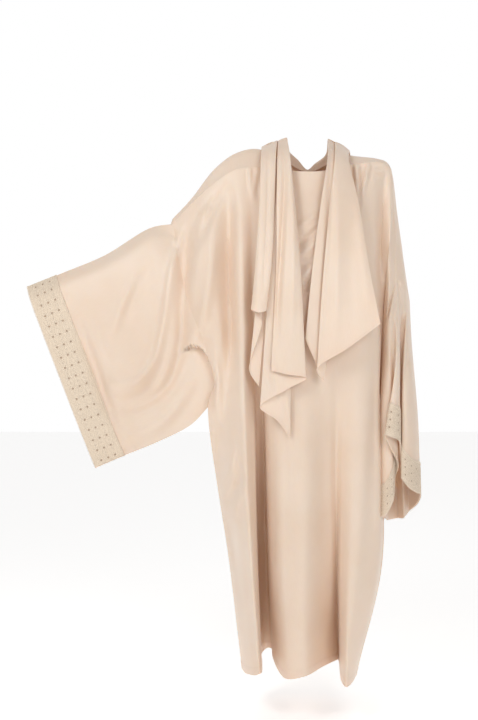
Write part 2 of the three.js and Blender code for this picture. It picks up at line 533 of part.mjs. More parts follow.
// ---- lace bands: a cell with a square eyelet on each step of the sleeve under them -----------------------
function laceBand({ grid, normals }, firstColumn, columnCount) {
  const columns = grid[0].length;
  const positions = [];
  const faces = [];
  const points = new Map();
  // The corner (j, i) or eyelet corner of a cell, on the face given by its height over the cloth.
  const vertex = (key, point, normal, lift) => {
    const name = `${key}:${lift}`;
    if (!points.has(name)) {
      const moved = point.clone().addScaledVector(normal, lift);
      points.set(name, positions.length / 3);
      positions.push(moved.x, moved.y, moved.z);
    }
    return points.get(name);
  };
  const low = CLOTH / 2 + LACE_LIFT;
  const high = low + LACE;
  const quad = (a, b, c, d) => faces.push(a, b, c, a, c, d);
  const lastColumn = firstColumn + columnCount;
  const corner = (j, i, lift) => {
    const point = grid[j][i % columns].clone();
    const beside = { [firstColumn]: firstColumn + 1, [lastColumn]: lastColumn - 1 }[i];
    if (beside !== undefined) {
      point.add(grid[j][beside % columns].clone().sub(point).setLength(SEAM_GAP / 2));
    }
    return vertex(`c${j}_${i}`, point, normals[j][i % columns], lift);
  };
  const eyelet = (j, i, u, v, lift) => {
    const next = (i + 1) % columns;
    const here = i % columns;
    const a = grid[j][here];
    const b = grid[j][next];
    const c = grid[j + 1][here];
    const d = grid[j + 1][next];
    const width = a.distanceTo(b);
    const height = a.distanceTo(c);
    const share = 0.5 + (u * EYELET) / 2 / width;
    const fall = EYELET_PLACES[j - SLEEVE_ROWS] + (v * EYELET) / 2 / height;
    const mix = (p, q, r, s) => {
      const sum = at(0, 0, 0);
      if (fall >= share) {
        sum.addScaledVector(p, 1 - fall).addScaledVector(r, fall - share).addScaledVector(s, share);
      } else {
        sum.addScaledVector(p, 1 - share).addScaledVector(q, share - fall).addScaledVector(s, fall);
      }
      return sum;
    };
    const point = mix(a, b, c, d);
    const normal = mix(normals[j][here], normals[j][next], normals[j + 1][here], normals[j + 1][next]);
    return vertex(`e${j}_${i}_${u}_${v}`, point, normal.normalize(), lift);
  };
  const firstRow = SLEEVE_ROWS;
  const lastRow = SLEEVE_ROWS + LACE_ROWS;
  for (let j = firstRow; j < lastRow; j++) {
    for (let i = firstColumn; i < lastColumn; i++) {
      const frame = (lift) => ({
        outer: [corner(j, i, lift), corner(j + 1, i, lift), corner(j + 1, i + 1, lift),
          corner(j, i + 1, lift)],
        inner: [eyelet(j, i, -1, -1, lift), eyelet(j, i, -1, 1, lift), eyelet(j, i, 1, 1, lift),
          eyelet(j, i, 1, -1, lift)],
      });
      const over = frame(high);
      const under = frame(low);
      for (let k = 0; k < 4; k++) {
        const n = (k + 1) % 4;
        quad(over.outer[k], over.outer[n], over.inner[n], over.inner[k]);
        quad(under.outer[n], under.outer[k], under.inner[k], under.inner[n]);
        quad(over.inner[k], over.inner[n], under.inner[n], under.inner[k]);
      }
      if (j === firstRow) quad(over.outer[3], under.outer[3], under.outer[0], over.outer[0]);
      if (j === lastRow - 1) quad(over.outer[1], under.outer[1], under.outer[2], over.outer[2]);
      if (i === firstColumn) quad(over.outer[0], under.outer[0], under.outer[1], over.outer[1]);
      if (i === lastColumn - 1) quad(over.outer[2], under.outer[2], under.outer[3], over.outer[3]);
    }
  }
  const geometry = new THREE.BufferGeometry();
  geometry.setAttribute("position", new THREE.Float32BufferAttribute(positions, 3));
  geometry.setIndex(faces);
  geometry.computeVertexNormals();
  return geometry;
}

// ---- veil -------------------------------------------------------------------------------------------
// A row across a sheet, stepped evenly from line to line.
function acrossLines(points, stepsAcross) {
  const across = row(points);
  const line = [];
  for (let i = 0; i <= (points.length - 1) * stepsAcross; i++) line.push(placeOn(across, i / stepsAcross));
  return line;
}

// Rows down a folded end, columns across its layers.
function foldedEnd(table, rowsDown) {
  const lines = table.map((line) => row(line.points.map((point) => at(...point))));
  const grid = [];
  for (let j = 0; j <= rowsDown; j++) {
    grid.push(acrossLines(lines.map((line) => line.getPointAt(j / rowsDown)), VEIL_STEPS));
  }
  return grid;
}

// The neck band, whose rows start on the back's neckline, column for column.
function neckBand() {
  const firstColumn = columnOf(BACK, NECK_FROM) + 1;
  return VEIL_NECK[0].points.map((_, j) => {
    const seam = back[0][firstColumn + j].clone();
    return acrossLines([seam, ...VEIL_NECK.map((line) => at(...line.points[j]))], BAND_STEPS);
  });
}
const veilEndRight = foldedEnd(VEIL_END_R, VEIL_ROWS);
const veilStripRight = foldedEnd(VEIL_STRIP_R, STRIP_ROWS);
const veilEndLeft = foldedEnd(VEIL_END_L, VEIL_ROWS);

// ---- the garment ------------------------------------------------------------------------------------------
const mirrored = (grid) => grid.map((line) => [...line].reverse());
const panels = {
  front: { grid: front, closed: false },
  back: { grid: mirrored(back), closed: false },
  raised: { grid: raisedSleeve, closed: true },
  hanging: { grid: mirrored(hangingSleeve), closed: true },
  veilNeck: { grid: mirrored(neckBand()), closed: false },
};
for (const panel of Object.values(panels)) panel.normals = gridNormals(panel.grid, panel.closed);

// Panels that meet at a seam share the normal there, so that their edges face each other squarely.
const meetings = new Map();
const spot = (point) => point.toArray().map((value) => value.toFixed(2)).join();
for (const panel of Object.values(panels)) {
  panel.grid.forEach((line, j) => line.forEach((point, i) => {
    const key = spot(point);
    if (!meetings.has(key)) meetings.set(key, []);
    meetings.get(key).push(panel.normals[j][i]);
  }));
}
for (const meeting of meetings.values()) {
  const sum = at(0, 0, 0);
  for (const normal of meeting) sum.add(normal);
  sum.normalize();
  for (const normal of meeting) normal.copy(sum);
}
// Between two shared points of an armhole a sleeve has one of its own, which takes their mean.
for (const sleeve of [panels.raised, panels.hanging]) {
  const edge = sleeve.normals[0];
  edge.forEach((normal, i) => {
    const alone = meetings.get(spot(sleeve.grid[0][i])).length === 1;
    const before = edge[(i + edge.length - 1) % edge.length];
    const after = edge[(i + 1) % edge.length];
    if (alone) normal.copy(before).add(after).normalize();
  });
}

const column = (grid, i) => grid.map((line) => line[i]);
for (const { grid, closed } of Object.values(panels)) {
  const last = grid[0].length - 1;
  drawBack(grid[0], grid[1], closed);
  if (!closed) {
    drawBack(column(grid, 0), column(grid, 1));
    drawBack(column(grid, last), column(grid, last - 1));
  }
}

const clothPiece = (name, { grid, closed, normals }) => piece(name, wall(grid, closed, normals), SATIN);
const isdal = new THREE.Group();
isdal.add(
  clothPiece("front", panels.front),
  clothPiece("back", panels.back),
  clothPiece("sleeve_right", panels.raised),
  clothPiece("sleeve_left", panels.hanging),
  piece("cuff_lace_right_front", laceBand(panels.raised, 0, half), LACE_FINISH),
  piece("cuff_lace_right_back", laceBand(panels.raised, half, half), LACE_FINISH),
  piece("cuff_lace_left_front", laceBand(panels.hanging, half, half), LACE_FINISH),
  piece("cuff_lace_left_back", laceBand(panels.hanging, 0, half), LACE_FINISH),
  piece("veil_end_right", wall(veilEndRight), SATIN),
  piece("veil_strip_right", wall(veilStripRight), SATIN),
  piece("veil_end_left", wall(mirrored(veilEndLeft)), SATIN),
  clothPiece("veil_neck", panels.veilNeck),
);
export default isdal;
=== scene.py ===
import math
import bpy
import numpy as np
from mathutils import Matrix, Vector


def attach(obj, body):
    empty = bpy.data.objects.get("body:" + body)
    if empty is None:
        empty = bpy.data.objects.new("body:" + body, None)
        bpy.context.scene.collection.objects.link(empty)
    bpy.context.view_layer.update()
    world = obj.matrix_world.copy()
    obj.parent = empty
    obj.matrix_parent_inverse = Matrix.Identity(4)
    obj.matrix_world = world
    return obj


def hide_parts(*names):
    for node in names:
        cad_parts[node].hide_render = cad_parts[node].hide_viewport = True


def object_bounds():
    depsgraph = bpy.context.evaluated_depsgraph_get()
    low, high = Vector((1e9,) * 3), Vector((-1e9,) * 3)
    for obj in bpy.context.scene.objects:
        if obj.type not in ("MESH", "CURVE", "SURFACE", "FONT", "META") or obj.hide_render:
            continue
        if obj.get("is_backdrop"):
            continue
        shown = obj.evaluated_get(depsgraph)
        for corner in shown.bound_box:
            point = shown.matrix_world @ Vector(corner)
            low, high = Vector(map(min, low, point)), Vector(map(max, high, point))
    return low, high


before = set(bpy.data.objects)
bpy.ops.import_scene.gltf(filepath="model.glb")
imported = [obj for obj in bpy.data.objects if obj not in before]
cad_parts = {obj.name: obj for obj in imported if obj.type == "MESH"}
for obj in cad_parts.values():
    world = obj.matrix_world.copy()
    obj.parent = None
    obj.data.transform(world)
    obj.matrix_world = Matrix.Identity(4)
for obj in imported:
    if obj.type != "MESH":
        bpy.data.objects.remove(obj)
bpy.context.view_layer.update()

# ---- Camera -----------------------------------------------------------------------------------------------
# A level camera in front of the dress, a little to the side of its raised arm.
VIEW_ANGLE = 35.66
CAMERA_PLACE = (-0.185, -3.0, -0.536)


def add_object(name, data):
    item = bpy.data.objects.new(name, data)
    bpy.context.scene.collection.objects.link(item)
    return item


camera_data = bpy.data.cameras.new("camera")
camera_data.sensor_width = 24
camera_data.lens = camera_data.sensor_width / 2 / math.tan(math.radians(VIEW_ANGLE) / 2)
camera = add_object("camera", camera_data)
camera.location = CAMERA_PLACE
camera.rotation_euler = (math.radians(90), 0, 0)
bpy.context.scene.camera = camera

# ---- Front and back panels --------------------------------------------------------------------------------
# Two wide panels of satin crepe, sewn together at the shoulders and sides. They are cut straight and loose,
# so they fall in long folds, and one deep fold stands open beside the right leg.
MM = 0.001
YOKE_STEPS = 9
SKIRT_STEPS = 12
FRONT_HEIGHTS = (0, 0.35, 0.85, 1, 1.6, 2)
BACK_HEIGHTS = (0, None, 0.35, 0.85, 1, 1.6, 2)
# Fold line, x and y at those heights, height of the seam, of the ridge behind it, of the underarm and of
# the hem, and steps to the next line. Heights run from the shoulder seam (0) past the underarm (1) to the
# hem (2).
FRONT_LINES = (
    ("armhole_r", (-362, -330, -251, -268, -211, -177), (-5, -45, -45, 5, 65, 85),
        -172, None, -662, -1385, 1),
    ("underarm_r", (-313, -309, -244, -253, -202, -168), (-15, -58, -70, -30, 29, 45),
        -120, None, -658, -1387, 1),
    ("side_r", (-273, -282, -237, -238, -188, -157), (-25, -72, -85, -62, -11, 5), -84, None, -654, -1380, 1),
    ("outer_ridge_r", (-243, -253, -224, -219, -175, -146), (-30, -80, -90, -84, -49, -25),
        -61, None, -651, -1374, 1),
    ("trough_r", (-214, -219, -208, -203, -164, -137), (-35, -70, -80, -85, -72, -40),
        -43, None, -648, -1369, 1),
    ("long_ridge_r", (-190, -188, -180, -175, -152, -130), (-38, -96, -112, -114, -94, -50),
        -31, None, -644, -1363, 2),
    ("deep_fold_lip_r", (-166, -166, -158, -151, -137, -123), (-39, -90, -94, -90, -46, 10),
        -27, None, -643, -1372, 2),
    ("deep_fold_floor_r", (-151, -151, -146, -140, -128, -115), (-40, -82, -68, -45, 112, 200),
        -26, None, -642, -1358, 1),
    ("deep_fold_floor_c", (-135, -136, -130, -124, -109, -95), (-41, -84, -68, -45, 112, 200),
        -26, None, -642, -1359, 2),
    ("deep_fold_lip_c", (-111, -120, -116, -115, -105, -91), (-35, -94, -97, -88, -10, 90),
        -23, None, -637, -1358, 1),
    ("neck_r", (-84, -100, -102, -102, -93, -79), (-25, -104, -112, -107, -55, 45),
        -20, None, -637, -1378, 1),
    ("chest_r", (-56, -66, -72, -75, -70, -55), (-48, -116, -125, -125, -100, -40),
        -35, None, -634, -1380, 2),
    ("centre", (-4, -10, -21, -23, -21, -12), (-66, -119, -123, -126, -114, -60), -42, None, -631, -1367, 2),
    ("chest_l", (49, 31, 21, 21, 26, 39), (-55, -116, -119, -118, -72, 20), -36, None, -629, -1364, 2),
    ("neck_l", (94, 70, 52, 50, 60, 82), (-25, -113, -117, -109, -28, 110), -15, None, -626, -1371, 2),
    ("fold_floor_l", (109, 92, 73, 69, 76, 95), (-31, -107, -113, -102, -2, 150), -15, None, -624, -1380, 2),
    ("fold_lip_l", (125, 110, 96, 89, 83, 89), (-35, -101, -111, -104, -56, -10), -16, None, -621, -1393, 2),
    ("front_lobe_l", (152, 137, 128, 120, 103, 97), (-30, -92, -105, -107, -94, -60),
        -11, None, -616, -1395, 1),
    ("side_l", (179, 167, 160, 155, 139, 113), (-25, -74, -87, -91, -79, -35), -10, None, -614, -1392, 1),
    ("valley_l", (204, 192, 184, 181, 180, 127), (-18, -36, -42, -46, -44, 8), -15, None, -613, -1388, 1),
    ("arm_front_l", (219, 209, 193, 189, 202, 134), (-8, -50, 0, 10, 34, 40), -23, None, -611, -1391, 1),
    ("arm_mid_l", (227, 206, 193, 190, 204, 135), (-15, -55, 8, 18, 36, 55), -123, None, -609, -1393, 1),
    ("arm_low_l", (231, 208, 194, 191, 204, 135), (-28, -60, 6, 25, 48, 65), -217, None, -606, -1393, 1),
    ("armhole_l", (231, 204, 196, 193, 204, 135), (-40, -56, 2, 32, 60, 80), -324, None, -604, -1394, 1),
)
BACK_LINES = (
    ("armhole_r", (-362, -364, -334, -258, -268, -211, -177), (-5, 10, 28, 18, 5, 65, 85),
        -172, -158, -662, -1385, 1),
    ("side_r", (-313, -315, -313, -253, -253, -197, -163), (-15, 10, 60, 58, 60, 124, 140),
        -120, -106, -662, -1400, 2),
    ("fold_r1", (-243, -251, -254, -226, -221, -167, -137), (-30, 6, 88, 92, 95, 172, 190),
        -61, -24, -658, -1397, 2),
    ("fold_r2", (-190, -193, -188, -174, -171, -133, -107), (-38, 3, 95, 108, 110, 171, 222),
        -31, 18, -653, -1366, 5),
    ("fold_r3", (-135, -135, -132, -127, -121, -91, -66), (-41, 2, 112, 118, 118, 198, 236),
        -26, 29, -647, -1366, 3),
    ("neck_r", (-84, -83, -88, -82, -79, -50, -30), (-25, 3, 105, 108, 108, 173, 215),
        -20, 6, -644, -1369, 2),
    ("fold_c1", (-63, -54, -43, -43, -40, -16, 0), (36, 58, 115, 122, 122, 193, 236), 4, -4, -642, -1374, 2),
    ("centre", (4, 5, 7, 7, 7, 21, 30), (62, 76, 108, 112, 112, 174, 214), -22, -38, -639, -1369, 2),
    ("fold_c2", (73, 66, 60, 58, 55, 57, 60), (36, 58, 115, 122, 122, 190, 232), 4, -4, -636, -1373, 2),
    ("neck_l", (94, 95, 101, 98, 96, 91, 85), (-25, 3, 105, 110, 110, 170, 212), -15, 13, -633, -1368, 4),
    ("fold_l1", (125, 129, 137, 132, 130, 123, 109), (-35, 3, 110, 116, 116, 186, 224),
        -16, 9, -628, -1371, 3),
    ("fold_l2", (179, 186, 180, 169, 167, 159, 127), (-25, 6, 94, 100, 102, 159, 205),
        -10, 2, -622, -1381, 1),
    ("side_l", (204, 212, 203, 187, 189, 188, 138), (-18, 10, 84, 90, 88, 142, 196), -15, -6, -616, -1387, 1),
    ("arm_back_l", (219, 226, 234, 202, 203, 200, 142), (-8, 16, 98, 76, 72, 120, 170),
        -23, -29, -613, -1391, 1),
    ("arm_mid_l", (227, 239, 262, 208, 200, 204, 143), (-15, 12, 92, 68, 61, 100, 145),
        -123, -138, -610, -1393, 1),
    ("arm_low_l", (231, 251, 270, 213, 196, 205, 142), (-28, 5, 78, 60, 50, 80, 120),
        -217, -241, -607, -1394, 1),
    ("armhole_l", (231, 258, 279, 226, 193, 204, 135), (-40, -12, 50, 54, 32, 60, 80),
        -324, -333, -604, -1394, 1),
)
# Soft folds of the front and the raised sleeve: path in x and z, width, and depth towards the back.
SOFT_FOLDS = (
    ("elbow_trough", ((-368, -250), (-378, -420), (-398, -540), (-420, -620), (-480, -668)), 40, 14),
    ("elbow_ridge", ((-350, -290), (-350, -420), (-365, -560), (-400, -655)), 30, -7),
    ("cuff_trough", ((-430, -330), (-462, -440), (-500, -520), (-560, -600)), 34, 9),
    ("shoulder_trough", ((-326, -190), (-334, -250), (-330, -330)), 16, 12),
    ("breast_ridge", ((-272, -150), (-290, -270), (-302, -390), (-300, -480)), 18, -13),
    ("side_dent_1", ((-244, -700), (-240, -800)), 12, 15),
    ("side_dent_2", ((-214, -960), (-208, -1060)), 13, 14),
)
FOLD_FADE = 0.12
# Sharper creases laid over them: path, width and depth, or width and depth on its left and on its right.
FRONT_CREASES = (
    ("sleeve_long_ridge", ((-338, -173), (-345, -220), (-364, -299), (-388, -457), (-411, -541),
        (-453, -589), (-530, -599)), (15, -17.1), (11, -17.1)),
    ("sleeve_long_trough", ((-314, -199), (-324, -278), (-335, -378), (-340, -483), (-361, -573),
        (-398, -625), (-466, -662), (-540, -657)), (15, 24.03)),
    ("sleeve_bottom_trough", ((-393, -557), (-430, -615), (-477, -641), (-540, -631)), (17, 16.9)),
    ("sleeve_edge_ridge", ((-248, -155), (-259, -278), (-272, -378), (-288, -452), (-314, -494)), (18, -20)),
    ("sleeve_slant_trough", ((-419, -278), (-461, -365), (-501, -473)), (16.25, 8.151)),
    ("sleeve_slant_ridge", ((-448, -294), (-493, -391), (-524, -483)), (14, -6.4)),
    ("sleeve_low_ridge", ((-298, -568), (-330, -631), (-393, -704), (-487, -746)), (15, -12.16)),
    ("cuff_side_trough", ((-614, -426), (-572, -541), (-535, -652), (-508, -710)), (16, 19.95)),
    ("cuff_side_ridge", ((-572, -426), (-530, -531), (-498, -604)), (14, -4)),
    ("armpit_hook", ((-330, -523), (-322, -508), (-306, -500), (-288, -504), (-272, -520), (-259, -547),
        (-251, -578), (-247, -615), (-251, -668)), (16, -9), (22, 19)),
    ("body_trough_high", ((-211, -89), (-209, -194), (-211, -299), (-206, -457), (-209, -568)), (15, 26)),
    ("body_trough_low", ((-230, -497), (-222, -620), (-222, -733), (-232, -878)), (17, 32)),
    ("lip_ridge", ((-174, -84), (-174, -299), (-169, -457), (-172, -641), (-169, -825), (-161, -1062)),
        (12, -9)),
    ("side_shade", ((-245, -662), (-240, -786), (-230, -957)), (22, 13)),
    ("hip_ridge", ((-193, -746), (-209, -815), (-232, -883)), (10, -14)),
    ("hip_trough", ((-177, -825), (-201, -883), (-227, -936)), (9, 15)),
    ("hip_ridge_low", ((-167, -846), (-188, -909), (-211, -983)), (11, -12)),
    ("side_trough_low", ((-206, -957), (-198, -1062), (-188, -1167)), (10, 9.6)),
    ("shoulder_slant", ((-224, -78), (-245, -120), (-272, -184), (-293, -247)), (11, 9)),
    ("shoulder_pull_1", ((-203, -57), (-219, -78), (-238, -115)), (7, 3.5)),
    ("shoulder_pull_2", ((-251, -89), (-267, -115), (-280, -147)), (7, 3.5)),
    ("shoulder_pull_3", ((-285, -126), (-295, -152), (-306, -184)), (7, 3)),
    ("drop_seam_pull_1", ((-372, -194), (-353, -210), (-335, -220)), (6, 3)),
    ("drop_seam_pull_2", ((-366, -228), (-348, -241), (-330, -249)), (6, 3)),
    ("drop_seam_pull_3", ((-361, -262), (-343, -273), (-324, -278)), (6, 2.5)),
    ("chest_ridge_1", ((-40, -197), (-9, -178), (23, -149)), (8, -6.75)),
    ("chest_trough_1", ((-40, -241), (-11, -223), (23, -189)), (7, 12.15)),
    ("chest_ridge_2", ((-35, -265), (-9, -252), (20, -226)), (6, -8.1)),
    ("chest_trough_2", ((-32, -294), (-11, -286), (12, -265)), (6, 8.1)),
    ("chest_ridge_3", ((-30, -326), (-11, -312), (7, -294)), (6, -8.1)),
    ("chest_trough_3", ((-27, -368), (-14, -352), (2, -331)), (7, 12.15)),
    ("gather_1", ((110, -2), (115, -52), (123, -113)), (5, 6)),
    ("gather_2", ((125, -5), (128, -57), (128, -115)), (5, -4)),
    ("gather_3", ((136, -7), (136, -55), (131, -113)), (5, 6)),
    ("gather_4", ((152, -13), (146, -57), (136, -113)), (6, -4)),
    ("gather_5", ((165, -18), (157, -57), (144, -110)), (6, 5)),
    ("left_gather_1", ((-135, -26), (-135, -68), (-138, -115)), (6, 5)),
    ("left_gather_2", ((-151, -31), (-151, -73), (-151, -126)), (7, -3)),
    ("right_chest_trough", ((138, -131), (154, -220), (167, -326), (175, -457)), (14, 5)),
    ("middle_ridge", ((-17, -628), (-11, -825), (-14, -1062), (-19, -1272)), (30, -10.2)),
    ("middle_trough", ((33, -641), (33, -852), (33, -1062), (33, -1272)), (16, 5.1)),
    ("middle_slight_ridge", ((-75, -720), (-77, -957), (-75, -1220)), (12, -2.5)),
    ("middle_slight_trough", ((-54, -694), (-56, -957), (-54, -1194)), (10, 2)),
    ("right_lobe_ridge", ((138, -641), (136, -852), (125, -1062), (112, -1272)), (18, -8.5)),
    ("deep_fold_floor", ((-135, -575), (-135, -746), (-130, -957), (-125, -1167), (-122, -1312)),
        (12, -21.6)),
    ("leg_valley_floor", ((62, -878), (67, -1062), (65, -1299)), (14, -8)),
    ("side_gap_floor", ((181, -278), (183, -457), (183, -641), (183, -825), (181, -1036)), (12, -22)),
    ("left_armhole_trough", ((207, -26), (200, -89), (194, -168), (190, -247), (188, -339)), (7, 7)),
    ("left_shoulder_pull_1", ((202, -10), (186, -21), (165, -28)), (4, 3)),
    ("left_shoulder_pull_2", ((210, -28), (188, -36), (170, -42)), (4, 3)),
    ("left_shoulder_pull_3", ((210, -49), (194, -57), (175, -70)), (5, 3)),
    ("hem_wave_1", ((-140, -1207), (-140, -1272), (-143, -1346)), (9, -3)),
    ("hem_wave_2", ((7, -1194), (12, -1272), (18, -1346)), (14, 4)),
)
# The same kinds of folds behind, also on the back of the raised sleeve.
BACK_CREASES = (
    ("sleeve_long_ridge", ((-338, -189), (-366, -326), (-398, -470), (-445, -583), (-519, -620)), (17, 14)),
    ("sleeve_long_trough", ((-314, -220), (-332, -378), (-361, -536), (-419, -636), (-503, -673)), (15, -16)),
    ("sleeve_slant_trough", ((-424, -286), (-472, -378), (-508, -478)), (14, -9)),
    ("sleeve_low_ridge", ((-298, -589), (-345, -662), (-419, -715), (-493, -746)), (14, 10)),
    ("cuff_side_trough", ((-603, -457), (-561, -568), (-524, -683)), (15, -9)),
    ("armpit", ((-330, -525), (-309, -504), (-280, -515), (-259, -568), (-248, -652)), (14, 5), (20, 9)),
    ("shoulder_blade_right", ((-182, -128), (-193, -352), (-198, -641), (-203, -957)), (18, 9)),
    ("shoulder_slant_right", ((-214, -78), (-251, -136), (-280, -199)), (11, -8)),
    ("shoulder_slant_left", ((181, -52), (170, -126), (162, -210)), (10, -7)),
    ("back_trough_right", ((-135, -181), (-138, -431), (-140, -720), (-146, -1062)), (14, -8)),
    ("back_ridge_middle", ((-46, -155), (-40, -457), (-46, -773)), (24, 7)),
    ("back_trough_left", ((44, -173), (52, -457), (57, -799), (52, -1115)), (18, -8)),
    ("shoulder_blade_left", ((112, -142), (120, -404), (125, -720)), (15, 8)),
    ("seat_ridge", ((-88, -825), (-98, -1009), (-103, -1220)), (16, 7)),
    ("hem_wave", ((-9, -1141), (-1, -1246), (7, -1357)), (18, -6)),
)


def curve_through(points, places, closed=False):
    """A smooth line through the points on the first axis, read at places: 2.5 is halfway past the third."""
    points = np.asarray(points, float)
    if closed:
        wide = np.concatenate([points[-1:], points, points[:2]])
        spans = len(points)
    else:
        wide = np.concatenate([[2 * points[0] - points[1]], points, [2 * points[-1] - points[-2]]])
        spans = len(points) - 1
    places = np.asarray(places, float)
    span = np.clip(np.floor(places).astype(int), 0, spans - 1)
    share = (places - span).reshape((-1,) + (1,) * (points.ndim - 1))
    p0, p1, p2, p3 = (wide[span + k] for k in range(4))

    def gap(a, b):
        return np.maximum(np.sum((b - a) ** 2, axis=-1, keepdims=True), 1e-9) ** 0.25

    t0, t1, t2 = gap(p0, p1), gap(p1, p2), gap(p2, p3)
    lead = ((p1 - p0) / t0 - (p2 - p0) / (t0 + t1) + (p2 - p1) / t1) * t1
    trail = ((p2 - p1) / t1 - (p3 - p1) / (t1 + t2) + (p3 - p2) / t2) * t1
    return (p1 + lead * share + (3 * p2 - 3 * p1 - 2 * lead - trail) * share**2
            + (2 * p1 - 2 * p2 + lead + trail) * share**3)


def lengths_along(line):
    """Length from the start of a line of points to each of them."""
    return np.concatenate([[0], np.cumsum(np.linalg.norm(np.diff(line, axis=0), axis=1))])


def even_along(points, shares):
    """The same smooth line read at shares of its length."""
    spans = len(points) - 1
    places = np.linspace(0, spans, 60 * spans + 1)
    run = lengths_along(curve_through(points, places))
    return curve_through(points, np.interp(np.asarray(shares) * run[-1], run, places))


def read_line(at, along, points):
    """Points of a line read at numbers, where along gives the number of each of its points."""
    return np.stack([np.interp(at, along, points[:, k]) for k in range(3)], axis=-1)


def line_columns(lines):
    """Column of each fold line, counted in the table's steps."""
    return np.concatenate([[0], np.cumsum([line[-1] for line in lines[:-1]])])


def panel(lines, heights, finer_down, finer_across):
    """Grid of points, rows down and columns across, with its row and column numbers in the table's steps."""
    underarm = heights.index(1)
    down = np.arange((YOKE_STEPS + SKIRT_STEPS) * finer_down + 1) / finer_down
    below = (down - YOKE_STEPS) / SKIRT_STEPS * (len(heights) - 1 - underarm)
    level = np.where(down <= YOKE_STEPS, down / YOKE_STEPS * underarm, underarm + below)
    fallen = []
    for _, x, y, top, ridge, under, hem, _ in lines:
        z = [ridge if h is None else top + h * (under - top) if h <= 1 else under + (h - 1) * (hem - under)
             for h in heights]
        fallen.append(curve_through(np.column_stack([x, y, z]), level))
    columns = line_columns(lines)
    across = np.arange(columns[-1] * finer_across + 1) / finer_across
    grid = curve_through(np.array(fallen), np.interp(across, columns, np.arange(len(lines))))
    return grid.transpose(1, 0, 2), down, across


def to_segment(spots, start, end):
    """Share of a segment's length nearest to each spot, how far off it lies, and on which side."""
    run, offset = np.subtract(end, start).astype(float), spots - start
    share = np.clip(offset @ run / (run @ run), 0, 1)
    side = run[0] * offset[..., 1] - run[1] * offset[..., 0]
    return share, np.linalg.norm(offset - share[..., None] * run, axis=-1), side


def fold_push(points, folds):
    """How far soft folds push points towards the back, from paths drawn in x and z."""
    push = np.zeros(points.shape[:-1])
    for _, path, width, depth in folds:
        nearest = np.full(push.shape, np.inf)
        place = np.zeros(push.shape)
        for k, (start, end) in enumerate(zip(path, path[1:])):
            share, away, _ = to_segment(points[..., (0, 2)], start, end)
            place = np.where(away < nearest, (k + share) / (len(path) - 1), place)
            nearest = np.minimum(nearest, away)
        fade = np.sin(np.pi * (FOLD_FADE + (1 - 2 * FOLD_FADE) * place))
        push += depth * fade * np.exp(-((nearest / width) ** 2))
    return push


CREASE_STEPS = 6
CREASE_REACH = 3
CREASE_TIP = 0.01
CREASE_FADE = 0.7


def creased(points, creases):
    """How far creases push points towards the back. The two sides of a crease may differ, as where it laps."""
    push = np.zeros(points.shape[:-1])
    for _, path, *sides in creases:
        left, right = sides[0], sides[-1]
        path = curve_through(path, np.linspace(0, len(path) - 1, CREASE_STEPS * len(path)))
        reach = CREASE_REACH * max(left[0], right[0])
        near = np.all((points[..., (0, 2)] > path.min(axis=0) - reach)
                      & (points[..., (0, 2)] < path.max(axis=0) + reach), axis=-1)
        spots = points[near][:, (0, 2)]
        strength, depth = np.zeros(len(spots)), np.zeros(len(spots))
        for k, (start, end) in enumerate(zip(path, path[1:])):
            share, away, side = to_segment(spots, start, end)
            width, push_here = (np.where(side > 0, left[i], right[i]) for i in (0, 1))
            place = np.clip((k + share) / (len(path) - 1), CREASE_TIP, 1 - CREASE_TIP)
            fade = np.sin(np.pi * place) ** CREASE_FADE
            here = fade * np.exp(-((away / width) ** 2))
            depth = np.where(here > strength, push_here, depth)
            strength = np.maximum(strength, here)
        push[near] += strength * depth
    return push


back, back_down, back_across = panel(BACK_LINES, BACK_HEIGHTS, finer_down=11, finer_across=4)
front, front_down, front_across = panel(FRONT_LINES, FRONT_HEIGHTS, finer_down=13, finer_across=5)
front_push = fold_push(front, SOFT_FOLDS) + creased(front, FRONT_CREASES)
back_push = creased(back, BACK_CREASES)
front[..., 1] += front_push
back[..., 1] += back_push


def column_named(lines, name):
    return line_columns(lines)[[line[0] for line in lines].index(name)]


# Gathers below the neck on both shoulders: from and to, height and how far down they reach. They start a
# little below the seam.
GATHER_START = 12
GATHER_SIDE = 0.6
GATHERS = (("deep_fold_lip_r", "deep_fold_lip_c", 4, 70), ("neck_l", "front_lobe_l", 5, 150))
for first, last, height, reach in GATHERS:
    low, high = column_named(FRONT_LINES, first), column_named(FRONT_LINES, last)
    inside = np.clip(np.minimum(front_across - low, high - front_across) + GATHER_SIDE, 0, 1)
    fallen = front[:1, :, 2] - front[:, :, 2]
    fade = np.clip(1 - fallen / reach, 0, 1) * np.clip(fallen / GATHER_START, 0, 1)
    front[..., 1] -= height * fade * inside * np.cos(np.pi * front_across)

# The shoulder seams: the front's top edge lies on the back's, from each armhole to the neck.
neck_right = column_named(FRONT_LINES, "neck_r")
neck_left = column_named(FRONT_LINES, "neck_l")
front_end, back_end = front_across[-1], back_across[-1]
near_seam = np.clip(1 - front_down, 0, 1)[:, None]
for c, number in enumerate(front_across):
    if number <= neck_right:
        partner = number
    elif number >= neck_left:
        partner = back_end - (front_end - number)
    else:
        continue
    front[:, c] += near_seam * (read_line(partner, back_across, back[0]) - front[0, c])

# The side seams: the back's edges lie on the front's from the underarm down.
for edge in (0, -1):
    number = np.abs(back_across - back_across[edge])
    front_edge = read_line(back_down, front_down, front[:, edge])
    move = (front_edge - back[:, edge]) * np.clip(back_down - YOKE_STEPS + 1, 0, 1)[:, None]
    back += move[:, None, :] * np.clip(1 - number, 0, 1)[None, :, None]


